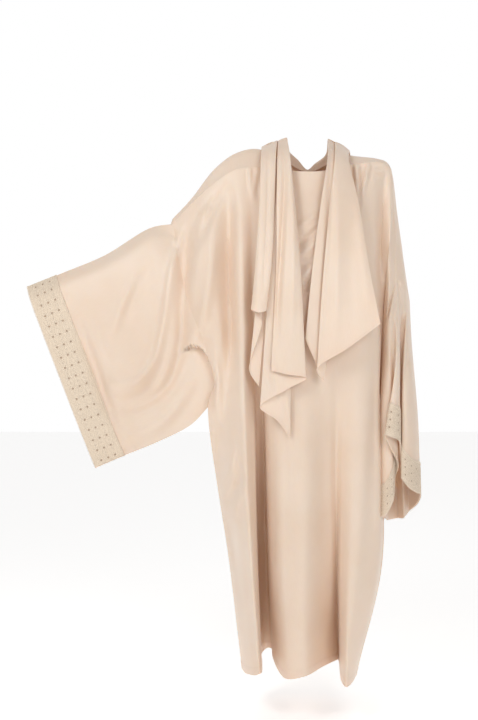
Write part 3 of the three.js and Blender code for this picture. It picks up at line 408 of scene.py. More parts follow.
def grid_normals(grid, closed=False):
    """Outward normals of a grid whose rows run down and whose columns run to the right, seen from outside."""
    down = np.gradient(grid, axis=0)
    if closed:
        across = np.roll(grid, -1, axis=1) - np.roll(grid, 1, axis=1)
    else:
        across = np.gradient(grid, axis=1)
    normal = np.cross(down, across)
    return normal / np.maximum(np.linalg.norm(normal, axis=-1, keepdims=True), 1e-9)


def shell(name, outer, inner, faces, flat, round_u=None):
    """A thin closed skin between two sets of points in mm, with walls at its edges and a UV map in metres."""
    count = len(outer)
    edges = np.stack([faces, np.roll(faces, -1, axis=1)], axis=-1).reshape(-1, 2)
    _, back_to, used = np.unique(edges.min(axis=1) * count + edges.max(axis=1), return_inverse=True,
                                 return_counts=True)
    start, end = edges[used[back_to] == 1].T
    walls = np.stack([end, start, start + count, end + count], axis=-1)
    faces = np.concatenate([faces, faces[:, ::-1] + count, walls])
    mesh = bpy.data.meshes.new(name)
    mesh.from_pydata((np.concatenate([outer, inner]) * MM).tolist(), [], faces.tolist())
    corners = flat[faces % count]
    if round_u:
        far = corners[..., 0].max(axis=1, keepdims=True) - corners[..., 0] > round_u / 2
        corners[..., 0] += round_u * far
    layer = mesh.uv_layers.new(name="cloth")
    layer.data.foreach_set("uv", corners.reshape(-1, 2).ravel())
    mesh.shade_smooth()
    mesh.set_sharp_from_angle(angle=math.radians(70))
    return add_object(name, mesh)


def cloth(name, grid, thick, closed=False):
    """A sheet of cloth on a grid, thick in mm. A closed one is a tube."""
    rows, columns = grid.shape[:2]
    normal = grid_normals(grid, closed)
    half = np.broadcast_to(np.asarray(thick, float), grid.shape[:2])[..., None] / 2
    number = np.arange(rows * columns).reshape(rows, columns)
    across = grid
    if closed:
        number = np.concatenate([number, number[:, :1]], axis=1)
        across = np.concatenate([grid, grid[:, :1]], axis=1)
    faces = np.stack([number[:-1, :-1], number[1:, :-1], number[1:, 1:], number[:-1, 1:]], axis=-1)
    wide = np.linalg.norm(np.diff(across, axis=1), axis=-1).mean(axis=0)
    long = np.linalg.norm(np.diff(grid, axis=0), axis=-1).mean(axis=1)
    u = np.concatenate([[0], np.cumsum(wide)]) * MM
    v = np.concatenate([[0], np.cumsum(long)]) * MM
    flat = np.stack(np.meshgrid(u[:columns], v), axis=-1).reshape(-1, 2)
    return shell(name, (grid + normal * half).reshape(-1, 3), (grid - normal * half).reshape(-1, 3),
                 faces.reshape(-1, 4), flat, u[-1] if closed else None)


def set_inputs(tree, node, inputs):
    """Sets a node's inputs, each to a value or to another node's output."""
    for key, value in inputs.items():
        if isinstance(value, bpy.types.NodeSocket):
            tree.links.new(value, node.inputs[key])
        else:
            node.inputs[key].default_value = value


def add_node(tree, kind, inputs=None, **settings):
    node = tree.nodes.new(kind)
    for key, value in settings.items():
        setattr(node, key, value)
    set_inputs(tree, node, inputs or {})
    return node


def new_material(name):
    material = bpy.data.materials.new(name)
    material.use_nodes = True
    return material, material.node_tree, material.node_tree.nodes["Principled BSDF"]


def two_tones(tree, value, low, first, high, second):
    """A colour that runs from the first tone at low to the second at high."""
    ramp = add_node(tree, "ShaderNodeValToRGB", {"Fac": value})
    for stop, place, tone in zip(ramp.color_ramp.elements, (low, high), (first, second)):
        stop.position = place
        stop.color = (*tone, 1)
    return ramp.outputs["Color"]


def satin_crepe(name, light, dark):
    """A soft pearly face over a fine pebbled weave, with a little drift in tone, and a faint warm glow of
    painted light.
    """
    material, tree, shader = new_material(name)
    place = add_node(tree, "ShaderNodeTexCoord").outputs
    drift = add_node(tree, "ShaderNodeTexNoise", {"Vector": place["Object"], "Scale": 5, "Detail": 3})
    slub_map = add_node(tree, "ShaderNodeMapping", {"Vector": place["UV"], "Scale": (900, 45, 1)})
    slub = add_node(tree, "ShaderNodeTexNoise",
                    {"Vector": slub_map.outputs["Vector"], "Scale": 1, "Detail": 2}).outputs["Fac"]
    tone = add_node(tree, "ShaderNodeMath", {0: slub, 1: 0.35, 2: drift.outputs["Fac"]},
                    operation="MULTIPLY_ADD")
    rough = add_node(tree, "ShaderNodeMapRange", {"Value": slub, "To Min": 0.4, "To Max": 0.56})
    pebble_map = add_node(tree, "ShaderNodeMapping", {"Vector": place["UV"], "Scale": (1500, 1100, 1)})
    pebble = add_node(tree, "ShaderNodeTexVoronoi", {"Vector": pebble_map.outputs["Vector"], "Scale": 1})
    weave = add_node(tree, "ShaderNodeMath", {0: pebble.outputs["Distance"], 1: slub}, operation="ADD")
    bump = add_node(tree, "ShaderNodeBump",
                    {"Height": weave.outputs["Value"], "Strength": 0.12, "Distance": 0.0003})
    # The weak warm emission is painted light: a glow that lightens the shade in the folds.
    set_inputs(tree, shader, {
        "Base Color": two_tones(tree, tone.outputs["Value"], 0.35, dark, 0.95, light),
        "Roughness": rough.outputs["Result"], "Normal": bump.outputs["Normal"],
        "Sheen Weight": 0.35, "Sheen Roughness": 0.35, "Sheen Tint": (1.0, 0.93, 0.86, 1),
        "Specular IOR Level": 0.4, "Subsurface Weight": 0.25, "Subsurface Radius": (1.0, 0.6, 0.35),
        "Subsurface Scale": 0.004, "Emission Color": (0.85, 0.36, 0.14, 1), "Emission Strength": 0.04})
    return material


crepe = satin_crepe("champagne_satin_crepe", (0.80, 0.66, 0.55), (0.73, 0.57, 0.45))
CLOTH = 0.9
HEM = 2.2
HEM_WIDE = 22


def with_hem(grid, wide):
    """Thickness of a sheet in mm, doubled where its lower edge is turned up."""
    run = np.cumsum(np.linalg.norm(np.diff(grid, axis=0), axis=-1)[::-1], axis=0)[::-1]
    away = np.concatenate([run, np.zeros((1, grid.shape[1]))])
    return np.where(away < wide, HEM, CLOTH)


def on_cloth(grid, normal, rows, columns, lift, closed=False):
    """Points on a grid at row and column numbers, lifted off it in mm, with their outward directions."""
    rows, columns = np.broadcast_arrays(np.asarray(rows, float), np.asarray(columns, float))
    r = np.clip(np.floor(rows).astype(int), 0, len(grid) - 2)
    c = np.floor(columns).astype(int)
    if not closed:
        c = np.clip(c, 0, grid.shape[1] - 2)
    down, across = (rows - r)[..., None], (columns - c)[..., None]
    c, beside = c % grid.shape[1], (c + 1) % grid.shape[1]

    def mix(values):
        upper = values[r, c] * (1 - across) + values[r, beside] * across
        return upper * (1 - down) + (values[r + 1, c] * (1 - across) + values[r + 1, beside] * across) * down

    outward = mix(normal)
    outward /= np.linalg.norm(outward, axis=-1, keepdims=True)
    return mix(grid) + outward * lift, outward


# Puts one small motif on every point, its face along "outward" and its length along "along".
sewing = bpy.data.node_groups.new("motifs_on_cloth", "GeometryNodeTree")
for label, kind in (("Points", "Geometry"), ("Motif", "Object"), ("Size", "Float"), ("Spread", "Float"),
                    ("Seed", "Int"), ("Material", "Material")):
    sewing.interface.new_socket(label, in_out="INPUT", socket_type="NodeSocket" + kind)
sewing.interface.new_socket("Cloth work", in_out="OUTPUT", socket_type="NodeSocketGeometry")
given = add_node(sewing, "NodeGroupInput").outputs
outward_way, along_way = (
    add_node(sewing, "GeometryNodeInputNamedAttribute", {"Name": way},
             data_type="FLOAT_VECTOR").outputs["Attribute"]
    for way in ("outward", "along"))
facing = add_node(sewing, "FunctionNodeAlignRotationToVector", {"Vector": outward_way}, axis="Z")
turned = add_node(sewing, "FunctionNodeAlignRotationToVector",
                  {"Rotation": facing.outputs["Rotation"], "Vector": along_way}, axis="X", pivot_axis="Z")
least, most = (
    add_node(sewing, "ShaderNodeMath", {0: given["Size"], 1: given["Spread"]}, operation=step).outputs[0]
    for step in ("SUBTRACT", "ADD"))
size_range = add_node(sewing, "FunctionNodeRandomValue", {"Seed": given["Seed"], 2: least, 3: most},
                      data_type="FLOAT")
motif_in = add_node(sewing, "GeometryNodeObjectInfo", {"Object": given["Motif"]})
placed = add_node(sewing, "GeometryNodeInstanceOnPoints", {
    "Points": given["Points"], "Instance": motif_in.outputs["Geometry"],
    "Rotation": turned.outputs["Rotation"], "Scale": size_range.outputs[1]})
real = add_node(sewing, "GeometryNodeRealizeInstances", {"Geometry": placed.outputs["Instances"]})
finished = add_node(sewing, "GeometryNodeSetMaterial",
                    {"Geometry": real.outputs["Geometry"], "Material": given["Material"]})
add_node(sewing, "NodeGroupOutput", {0: finished.outputs["Geometry"]})


def sew_on(name, spots, outward, along, motif, material, size=1, spread=0, seed=3):
    """One mesh of motifs at spots, given in mm, made by the tree and left as a plain mesh."""
    mesh = bpy.data.meshes.new(name)
    mesh.from_pydata((np.asarray(spots) * MM).tolist(), [], [])
    for key, vectors in (("outward", outward), ("along", along)):
        mesh.attributes.new(key, "FLOAT_VECTOR", "POINT").data.foreach_set("vector", np.ravel(vectors))
    source = add_object(name + "_points", mesh)
    modifier = source.modifiers.new("sewing", "NODES")
    modifier.node_group = sewing
    values = {"Motif": motif, "Size": float(size), "Spread": float(spread), "Seed": seed, "Material": material}
    for item in sewing.interface.items_tree:
        if item.in_out == "INPUT" and item.name in values:
            modifier[item.identifier] = values[item.name]
    graph = bpy.context.evaluated_depsgraph_get()
    result = bpy.data.meshes.new_from_object(source.evaluated_get(graph))
    bpy.data.objects.remove(source)
    for way in ("outward", "along"):
        if way in result.attributes:
            result.attributes.remove(result.attributes[way])
    result.name = name
    result.shade_smooth()
    piece = add_object(name, result)
    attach(piece, "root")
    return piece


def small_shape(name, points, faces):
    """A motif in mm that is only used by the tree and taken out again before the end."""
    mesh = bpy.data.meshes.new(name)
    mesh.from_pydata((np.asarray(points, float) * MM).tolist(), [], faces)
    shape = add_object(name, mesh)
    shape.hide_render = True
    small_shapes.append(shape)
    return shape


BEAD_BELLY = 0.28


def bead(long, wide, high, sides=6):
    """Points and faces of a slim bead along X, for a stitch, a petal or a knot."""
    points = [(-long / 2, 0, 0)]
    for x in (-BEAD_BELLY, BEAD_BELLY):
        for k in range(sides):
            turn = 2 * math.pi * k / sides
            points.append((x * long, wide / 2 * math.cos(turn), high / 2 * math.sin(turn)))
    points.append((long / 2, 0, 0))
    faces = []
    for k in range(sides):
        n = (k + 1) % sides
        faces += [(0, 1 + n, 1 + k), (1 + k, 1 + n, 1 + sides + n, 1 + sides + k),
                  (1 + sides + k, 1 + sides + n, 1 + 2 * sides)]
    return points, faces


def stitch_line(path, outward, pitch):
    """Places, outward and along directions of stitches every pitch mm on a line of points."""
    run = lengths_along(path)
    at = np.arange(pitch / 2, run[-1], pitch)
    ahead = read_line(at + 0.5, run, path) - read_line(at - 0.5, run, path)
    return read_line(at, run, path), read_line(at, run, outward), ahead


def matt_thread(name, light, dark):
    material, tree, shader = new_material(name)
    place = add_node(tree, "ShaderNodeTexCoord")
    fibre = add_node(tree, "ShaderNodeTexNoise",
                     {"Vector": place.outputs["Object"], "Scale": 1800}).outputs["Fac"]
    bump = add_node(tree, "ShaderNodeBump", {"Height": fibre, "Strength": 0.3, "Distance": 0.0002})
    set_inputs(tree, shader, {
        "Base Color": two_tones(tree, fibre, 0.35, dark, 0.7, light), "Roughness": 0.7,
        "Sheen Weight": 0.2, "Normal": bump.outputs["Normal"]})
    return material


sewing_thread = matt_thread("sewing_thread", (0.78, 0.635, 0.51), (0.70, 0.55, 0.42))
small_shapes = []
stitch = small_shape("stitch_shape", *bead(long=2.1, wide=0.5, high=0.4))
STITCH_PITCH = 3
STITCH_IN = 1.5
NECK_TURN = 5
SEAM_TURN = 3


def hem_line(grid, back_by, half_thick, closed=False, top=False, only=slice(None)):
    """A line of stitches so many mm from the lower edge, or from the top edge, on the outside."""
    normal = grid_normals(grid, closed)
    ends = (0, 3) if top else (-1, -4)
    step = np.linalg.norm(grid[ends[0]] - grid[ends[1]], axis=-1) / 3
    columns = np.arange(grid.shape[1] + (1 if closed else 0))[only]
    rows = back_by / step[columns % grid.shape[1]]
    return on_cloth(grid, normal, rows if top else len(grid) - 1 - rows, columns, half_thick, closed)


def sew_lines(name, lines, pitch=STITCH_PITCH):
    parts = [stitch_line(path, outward, pitch) for path, outward in lines]
    return sew_on(name, *(np.concatenate(p) for p in zip(*parts)), stitch, sewing_thread, spread=0.12)


def as_piece(piece, material, slot, *nodes):
    """Gives a finished cloth its material and hides the solids that it stands for."""
    piece.data.materials.append(material)
    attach(piece, "root")
    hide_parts(*nodes)
    return piece


front_piece = as_piece(cloth("front_cloth", front, with_hem(front, HEM_WIDE)), crepe, "satin", "front")
seen_from_behind = back[:, ::-1]
back_piece = as_piece(cloth("back_cloth", seen_from_behind, with_hem(seen_from_behind, HEM_WIDE)),
                      crepe, "satin", "back")
neck_columns = slice(*np.searchsorted(front_across, (neck_right, neck_left + 0.01)))
front_stitches = sew_lines("front_stitches", [
    hem_line(front, HEM_WIDE - STITCH_IN, HEM / 2),
    hem_line(front, NECK_TURN, CLOTH / 2, top=True, only=neck_columns),
    *(hem_line(front, SEAM_TURN, CLOTH / 2, top=True, only=part)
      for part in (slice(0, neck_columns.start), slice(neck_columns.stop, None)))])
back_stitches = sew_lines("back_hem_stitches", [hem_line(seen_from_behind, HEM_WIDE - STITCH_IN, HEM / 2)])

# ---- Raised right sleeve ----------------------------------------------------------------------------------
# A wide straight tube of the same crepe, set into the armhole and folded flat over the raised arm. Its cuff
# is as wide as the sleeve and stands open.
SLEEVE_STEPS = 8
LACE_STEPS = (0, 0.38, 0.62, 1)
LACE_WIDE = 85
RING = 36
HALF_RING = RING // 2
RING_PER_STEP = HALF_RING / YOKE_STEPS
# Sections towards the cuff: upper fold and lower seam in x and z, depths of the front and the back layer.
RAISED_SECTIONS = (
    ((-421, -182), (-314, -709), (-34, -50, -46, -26, -8), (36, 42, 34, 26, 18)),
    ((-545, -256), (-405, -756), (-33, -44, -50, -46, -18), (34, 36, 24, 14, 14)),
    ((-655, -302), (-489, -790), (-30, -38, -38, -38, -16), (32, 30, 16, 8, 10)),
    ((-752, -341), (-569, -824), (-26, -31, -26, -20, -10), (28, 24, 8, 4, 6)),
)
SECTION_PLACES = (0.07, 0.25, 0.5, 0.75, 0.94)
SEAM_FORWARD = 4
CUFF_TURN = 8
smooth_front, smooth_back = front.copy(), back.copy()
smooth_front[..., 1] -= front_push
smooth_back[..., 1] -= back_push


def armhole_ring(side, numbers, front, back):
    """Points of an armhole at ring numbers 0 to 36: down the front from the shoulder, then up the back."""
    edge = 0 if side == "right" else -1
    on_front = numbers < HALF_RING
    down = numbers[on_front] / RING_PER_STEP
    up = YOKE_STEPS - (numbers[~on_front] - HALF_RING) / RING_PER_STEP
    return np.concatenate([read_line(down, front_down, front[:, edge]),
                           read_line(up, back_down, back[:, edge])])


def raised_ring(section, numbers):
    upper, lower, front_depths, back_depths = section

    def layer(depths):
        points = [(upper[0], 0, upper[1])]
        for share, depth in zip(SECTION_PLACES, depths):
            points.append((upper[0] + share * (lower[0] - upper[0]), depth,
                           upper[1] + share * (lower[1] - upper[1])))
        points.append((lower[0], -SEAM_FORWARD, lower[1]))
        return np.array(points, float)

    down = even_along(layer(front_depths), numbers[numbers < HALF_RING] / HALF_RING)
    up = even_along(layer(back_depths)[::-1], numbers[numbers >= HALF_RING] / HALF_RING - 1)
    return np.concatenate([down, up])


def sleeve_grid(rings, finer):
    """Columns of a sleeve through its rings, with the last three steps under the lace."""
    steps = SLEEVE_STEPS + len(LACE_STEPS) - 1
    down = np.arange(steps * finer + 1) / finer
    columns = []
    for c in range(rings[0].shape[0]):
        points = np.array([ring[c] for ring in rings])
        dense = curve_through(points, np.linspace(0, len(points) - 1, 200))
        lace = LACE_WIDE / np.linalg.norm(np.diff(dense, axis=0), axis=1).sum()
        under = np.interp(down - SLEEVE_STEPS, np.arange(len(LACE_STEPS)), LACE_STEPS)
        share = np.where(down <= SLEEVE_STEPS, down / SLEEVE_STEPS * (1 - lace), 1 - (1 - under) * lace)
        columns.append(even_along(points, share))
    return np.array(columns).transpose(1, 0, 2), down


RING_FINER = 7
ring_numbers = np.arange(RING * RING_FINER) / RING_FINER
raised, raised_down = sleeve_grid(
    [armhole_ring("right", ring_numbers, smooth_front, smooth_back)]
    + [raised_ring(s, ring_numbers) for s in RAISED_SECTIONS], finer=10)
front_layer = np.clip(np.minimum(ring_numbers, HALF_RING - ring_numbers), 0, 1)
pushed = fold_push(raised, SOFT_FOLDS) + creased(raised, FRONT_CREASES)
back_layer = np.clip(np.minimum(ring_numbers - HALF_RING, RING - ring_numbers), 0, 1)
raised[..., 1] += pushed * front_layer + creased(raised, BACK_CREASES) * back_layer


def join_armhole(grid, down, seam):
    """Moves a sleeve's first rows onto the creased seam."""
    grid += (seam - grid[0]) * np.clip(1 - 3 * down, 0, 1)[:, None, None]


join_armhole(raised, raised_down, armhole_ring("right", ring_numbers, front, back))


def sleeve_piece(name, node, grid, stitches_name):
    """One sleeve with the stitches of its armhole."""
    piece = as_piece(cloth(name, grid, with_hem(grid, CUFF_TURN), closed=True), crepe, "satin", node)
    stitches = sew_lines(stitches_name, [hem_line(grid, SEAM_TURN, CLOTH / 2, closed=True, top=True)])


sleeve_piece("sleeve_right_cloth", "sleeve_right", raised, "raised_armhole_stitches")

# ---- Hanging left sleeve ----------------------------------------------------------------------------------
# The same wide tube on the lowered arm. Its front layer folds back on itself, so that the cuff runs in a
# zigzag: first edge, hidden layer, the corner beside the body, round the back and out again.
HANGING_LINES = (
    ("top", (232, -72, -531), (213, -98, -737), 1),
    ("pleat_edge", (224, -74, -541), (194, -93, -731), 2),
    ("pleat_floor", (226, -62, -562), (214, -78, -770), 2),
    ("pleat_back", (229, -54, -578), (235, -52, -815), 1),
    ("pleat_turn", (223, -49, -592), (227, -38, -850), 2),
    ("front_edge", (212, -61, -620), (219, -60, -904), 1),
    ("front_face", (198, -60, -654), (202, -58, -941), 1),
    ("front_corner", (187, -45, -689), (189, -44, -951), 3),
    ("body_side", (203, 0, -724), (210, 5, -960), 2),
    ("body_side_back", (209, 45, -759), (219, 55, -970), 3),
    ("underarm", (221, 84, -784), (230, 98, -977), 1),
    ("back_fold_out", (245, 108, -775), (256, 120, -976), 2),
    ("back_fold_in", (254, 70, -756), (267, 64, -966), 1),
    ("back_outer", (272, 94, -735), (286, 98, -954), 2),
    ("outer_back", (291, 62, -700), (302, 56, -926), 2),
    ("outer", (294, 10, -665), (302, 5, -896), 2),
    ("outer_front", (277, -38, -629), (282, -42, -885), 1),
    ("back_face", (257, -58, -602), (259, -66, -869), 1),
    ("gap_lip", (246, -54, -578), (242, -66, -844), 1),
    ("gap_floor_outer", (252, -20, -566), (252, -38, -826), 1),
    ("gap_floor_inner", (244, -18, -552), (243, -40, -808), 3),
    ("gap_front", (238, -58, -539), (232, -80, -746), 1),
)
HANGING_CREASES = (
    ("armhole_trough", ((207, -26), (200, -89), (194, -168), (190, -247), (188, -339)), (7, 7)),
    ("arm_ridge", ((223, -78), (215, -199), (210, -352), (210, -510), (215, -646)), (13, -14)),
    ("pleat_trough", ((233, -163), (237, -278), (238, -404), (238, -515)), (5, 7)),
    ("outer_ridge", ((254, -339), (262, -483), (273, -646)), (9, -5)),
    ("elbow_crease", ((259, -410), (249, -436), (238, -473)), (6, 5)),
    ("elbow_crease_low", ((273, -515), (262, -541), (252, -583)), (6, 4)),
)
hanging_columns = np.concatenate([line_columns(HANGING_LINES), [RING]])
hanging_places = np.interp(ring_numbers, hanging_columns, np.arange(len(HANGING_LINES) + 1))
hanging_rings = [curve_through([line[k] for line in HANGING_LINES], hanging_places, closed=True)
                 for k in (1, 2)]
hanging, hanging_down = sleeve_grid(
    [armhole_ring("left", ring_numbers, smooth_front, smooth_back)] + hanging_rings, finer=9)
hanging = hanging[:, ::-1]
facing = np.clip(-2 * grid_normals(hanging, True)[..., 1], 0, 1)
hanging[..., 1] += creased(hanging, HANGING_CREASES) * facing
join_armhole(hanging, hanging_down, armhole_ring("left", ring_numbers, front, back)[::-1])
sleeve_piece("sleeve_left_cloth", "sleeve_left", hanging, "hanging_armhole_stitches")

# ---- Lace cuffs -------------------------------------------------------------------------------------------
# A band of cotton lace laid flat round each cuff, on a net ground: three rows of eyelets in rings of petals,
# wavy cords between the rows, a braid along the top and small loops at the free edge. A dark disc in each
# eyelet is painted shade, standing for the cloth seen in shade through the hole.
EYELETS_ROUND = 36
EYELET_FALLS = (22.5, 42.5, 62.5)
EYELET_RADIUS = 2.9
EYELET_PITCH = 29.4
CELL_HALF = 10
CELL_SIDES = 24
CELL_RINGS = (0, 0.12, 0.45, 1)
TOP_STRIP = (0, 1.5, 4, 8)
LOW_STRIP = (76, 80, 83.5, LACE_WIDE)
EYELET_STEPS = 20
LACE_UNDER = 1.25
LACE_THICK = 0.9
LACE_FACE = LACE_UNDER + LACE_THICK


def even_columns(grid):
    """Column numbers at even lengths round the middle of the lace."""
    ring = grid[-len(grid) // 8]
    run = lengths_along(np.concatenate([ring, ring[:1]]))
    return np.interp(np.linspace(0, run[-1], EYELET_STEPS * EYELETS_ROUND + 1), run, np.arange(len(run)))


def on_cuff(grid, across, fall, lift):
    """Points at eyelet numbers round a cuff and at falls in mm down its lace, and their outward ways."""
    finer = (len(grid) - 1) / (SLEEVE_STEPS + len(LACE_STEPS) - 1)
    step = SLEEVE_STEPS + np.interp(np.asarray(fall) / LACE_WIDE, LACE_STEPS, np.arange(len(LACE_STEPS)))
    column = np.interp(np.mod(across, EYELETS_ROUND) * EYELET_STEPS,
                       np.arange(EYELET_STEPS * EYELETS_ROUND + 1), even_columns(grid))
    return on_cloth(grid, grid_normals(grid, True), step * finer, column, lift, closed=True)


def round_points(radius, count):
    turns = [2 * math.pi * k / count for k in range(count)]
    return [(radius * math.cos(turn), radius * math.sin(turn)) for turn in turns]


def lace_ground(name, grid):
    """The net with its eyelets cut out: rings of points round each eyelet, plain strips along both edges."""
    points, faces = {}, []

    def spot(across, fall):
        return points.setdefault((round(across % EYELETS_ROUND, 4), round(fall, 3)), len(points))

    for fall in EYELET_FALLS:
        for k in range(EYELETS_ROUND):
            rings = []
            for reach in CELL_RINGS:
                ring = []
                for x, y in round_points(1, CELL_SIDES):
                    square = reach / max(abs(x), abs(y))
                    hole = EYELET_RADIUS * (1 - reach)
                    ring.append(spot(k + 0.5 + x * (hole / EYELET_PITCH + square / 2),
                                     fall + y * (hole + square * CELL_HALF)))
                rings.append(ring)
            for inner, outer in zip(rings, rings[1:]):
                for a in range(CELL_SIDES):
                    b = (a + 1) % CELL_SIDES
                    faces.append((inner[a], inner[b], outer[b], outer[a]))
    edge_spots = sorted(a for a, f in points if abs(f - EYELET_FALLS[0] + CELL_HALF) < 1e-3)
    top, bottom = EYELET_FALLS[0] - CELL_HALF, EYELET_FALLS[-1] + CELL_HALF
    for strip in ((*TOP_STRIP, top), (bottom, *LOW_STRIP)):
        lines = [[spot(a, fall) for a in edge_spots] for fall in strip]
        for upper, lower in zip(lines, lines[1:]):
            for a in range(len(edge_spots)):
                b = (a + 1) % len(edge_spots)
                faces.append((upper[a], lower[a], lower[b], upper[b]))
    across, fall = np.array(list(points)).T
    flat = np.stack([across * EYELET_PITCH, fall], axis=-1) * MM
    return shell(name, on_cuff(grid, across, fall, LACE_FACE)[0], on_cuff(grid, across, fall, LACE_UNDER)[0],
                 np.array(faces), flat, EYELETS_ROUND * EYELET_PITCH * MM)


def flat_cord(path, radius, sides=4, closed=False):
    """Points and faces of a cord along a path in the XY plane."""
    path = np.array(path, float)
    if closed:
        ahead = np.roll(path, -1, axis=0) - np.roll(path, 1, axis=0)
    else:
        ahead = np.gradient(path, axis=0)
    ahead /= np.linalg.norm(ahead, axis=1, keepdims=True)
    points = [(p[0] - t[1] * radius * math.cos(turn), p[1] + t[0] * radius * math.cos(turn),
               radius * math.sin(turn))
              for p, t in zip(path, ahead) for turn in np.arange(sides) / sides * 2 * math.pi]
    faces = []
    count = len(path)
    for i in range(count if closed else count - 1):
        for k in range(sides):
            a, b = i * sides, (i + 1) % count * sides
            n = (k + 1) % sides
            faces.append((a + k, b + k, b + n, a + n))
    if not closed:
        faces.append(tuple(range(sides)))
        faces.append(tuple(range(count * sides - 1, (count - 1) * sides - 1, -1)))
    return points, faces


def joined(*shapes):
    points, faces = [], []
    for more, sides in shapes:
        faces += [tuple(len(points) + v for v in side) for side in sides]
        points += list(more)
    return points, faces


def petal(turn, middle, long, wide, high):
    points, faces = bead(long, wide, high, 4)
    c, s = math.cos(turn), math.sin(turn)
    return [((x + middle) * c - y * s, (x + middle) * s + y * c, z) for x, y, z in points], faces


RIM_RADIUS = 3.5
SHADE_DISC_RADIUS = 3
ROUND_SIDES = 10
LOOP_RADIUS = 1.7
loop = [(LOOP_RADIUS * math.sin(math.pi * k / 6), LOOP_RADIUS * math.cos(math.pi * k / 6)) for k in range(7)]
flower = small_shape("flower_shape", *joined(
    flat_cord(round_points(RIM_RADIUS, ROUND_SIDES), 0.75, closed=True),
    *(petal(math.pi * k / 4 + 0.39, middle=6.6, long=4.4, wide=2.4, high=1.3) for k in range(8))))
leaf_cross = small_shape("leaf_shape", *joined(
    *(petal(math.pi * k / 3, middle=2.9, long=4.2, wide=1.9, high=1.1) for k in range(6))))
knot = small_shape("knot_shape", *bead(long=2.2, wide=1.9, high=1.3, sides=4))
picot = small_shape("picot_shape", *flat_cord(loop, 0.45))
# A flat disc for the painted shade inside each eyelet.
eyelet_shade_disc = small_shape("lining_shape", [(x, y, 0) for x, y in round_points(SHADE_DISC_RADIUS, ROUND_SIDES)],
                            [tuple(range(ROUND_SIDES))])
braid_stitch = small_shape("braid_shape", *bead(long=4.4, wide=0.9, high=0.9, sides=4))


# The cord tone is the thread's own colour. The darker gap tone is painted shade: the cloth seen through the
# net's gaps, darkened as if in shade.
def cotton_net(name, cord, gap):
    material, tree, shader = new_material(name)
    place = add_node(tree, "ShaderNodeTexCoord")
    net = add_node(tree, "ShaderNodeTexVoronoi",
                   {"Vector": place.outputs["UV"], "Scale": 420, "Randomness": 0.35},
                   feature="DISTANCE_TO_EDGE").outputs["Distance"]
    bump = add_node(tree, "ShaderNodeBump", {"Height": net, "Strength": 0.6, "Distance": 0.0006}, invert=True)
    set_inputs(tree, shader, {
        "Base Color": two_tones(tree, net, 0.12, cord, 0.34, gap), "Roughness": 0.8,
        "Specular IOR Level": 0.25, "Normal": bump.outputs["Normal"]})
    return material


# Its darker second tone is painted shade in the net's gaps.
lace_net = cotton_net("cotton_lace_net", (0.80, 0.68, 0.54), (0.52, 0.40, 0.29))
lace_thread = matt_thread("cotton_lace_thread", (0.86, 0.75, 0.62), (0.76, 0.63, 0.50))
# Dark tones of painted shade, for the cloth seen in shade through the eyelets.
shaded_cloth = matt_thread("cloth_in_shade_behind_lace", (0.52, 0.39, 0.28), (0.36, 0.26, 0.18))


CORD_WAVE = 2.2
BRAID_FALLS = (0.9, 3, 5.2)


def spaced(per_eyelet):
    """Places round the cuff in eyelet numbers, so many to each eyelet."""
    return np.arange(EYELETS_ROUND * per_eyelet) / per_eyelet


def lace_work(side, grid):
    """All that is worked on one cuff's net: flowers, leaves, wavy cords, braid, edge cord and loops."""
    ground = as_piece(lace_ground(f"lace_{side}", grid), lace_net, "lace",
                      f"cuff_lace_{side}_front", f"cuff_lace_{side}_back")
    numbers = np.arange(EYELETS_ROUND)
    work = []

    def put(name, across, fall, motif, lift=0, spread=0.06, size=1, along_cuff=False, bend=-2,
            thread=lace_thread):
        across, fall = np.broadcast_arrays(across, fall)
        across, fall = across.ravel(), fall.ravel()
        beside = [on_cuff(grid, across + step, fall, 0)[1] for step in (-0.25, 0.25)]
        open_enough = np.einsum("ij,ij->i", *beside) > bend
        across, fall = across[open_enough], fall[open_enough]
        spots, outward = on_cuff(grid, across, fall, LACE_FACE + lift)
        if along_cuff:
            ahead = on_cuff(grid, across + 0.04, fall, 0)[0] - on_cuff(grid, across - 0.04, fall, 0)[0]
        else:
            ahead = on_cuff(grid, across, fall, 0)[0] - on_cuff(grid, across, fall - 1, 0)[0]
        piece = sew_on(f"lace_{side}_{name}", spots, outward, ahead, motif, thread, size, spread)
        work.append(piece)

    falls = np.array(EYELET_FALLS)[:, None]
    # Dark discs of painted shade in the eyelets, just above the cloth.
    put("eyelet_linings", numbers + 0.5, falls, eyelet_shade_disc, LACE_UNDER - LACE_FACE + 0.05,
        spread=0.3, thread=shaded_cloth)
    put("flowers", numbers + 0.5, falls, flower, bend=0.3)
    put("leaves", numbers + 1.0, falls, leaf_cross, bend=0.6)
    between = np.array([EYELET_FALLS[0] - CELL_HALF, *(f + CELL_HALF for f in EYELET_FALLS)])
    cord_places, knot_places = spaced(12), spaced(14)
    wave = between[:, None] + CORD_WAVE * np.sin(2 * math.pi * cord_places + math.pi * np.arange(4)[:, None])
    put("cords", cord_places, wave, knot, spread=0.1, size=0.95, along_cuff=True)
    put("braid_top", knot_places, BRAID_FALLS[0], knot, lift=0.1, spread=0.05, along_cuff=True)
    put("braid_low", knot_places, BRAID_FALLS[2], knot, lift=0.1, spread=0.05, size=0.9, along_cuff=True)
    put("braid_rungs", spaced(9), BRAID_FALLS[1], braid_stitch)
    put("edge_cord", knot_places, LACE_WIDE - 1.2, knot, spread=0.05, along_cuff=True)
    put("loops", spaced(7), LACE_WIDE, picot, lift=-0.6)
    return ground, work


for side, grid, length in (("right", raised, 1.06), ("left", hanging, 0.95)):
    ground, work = lace_work(side, grid)

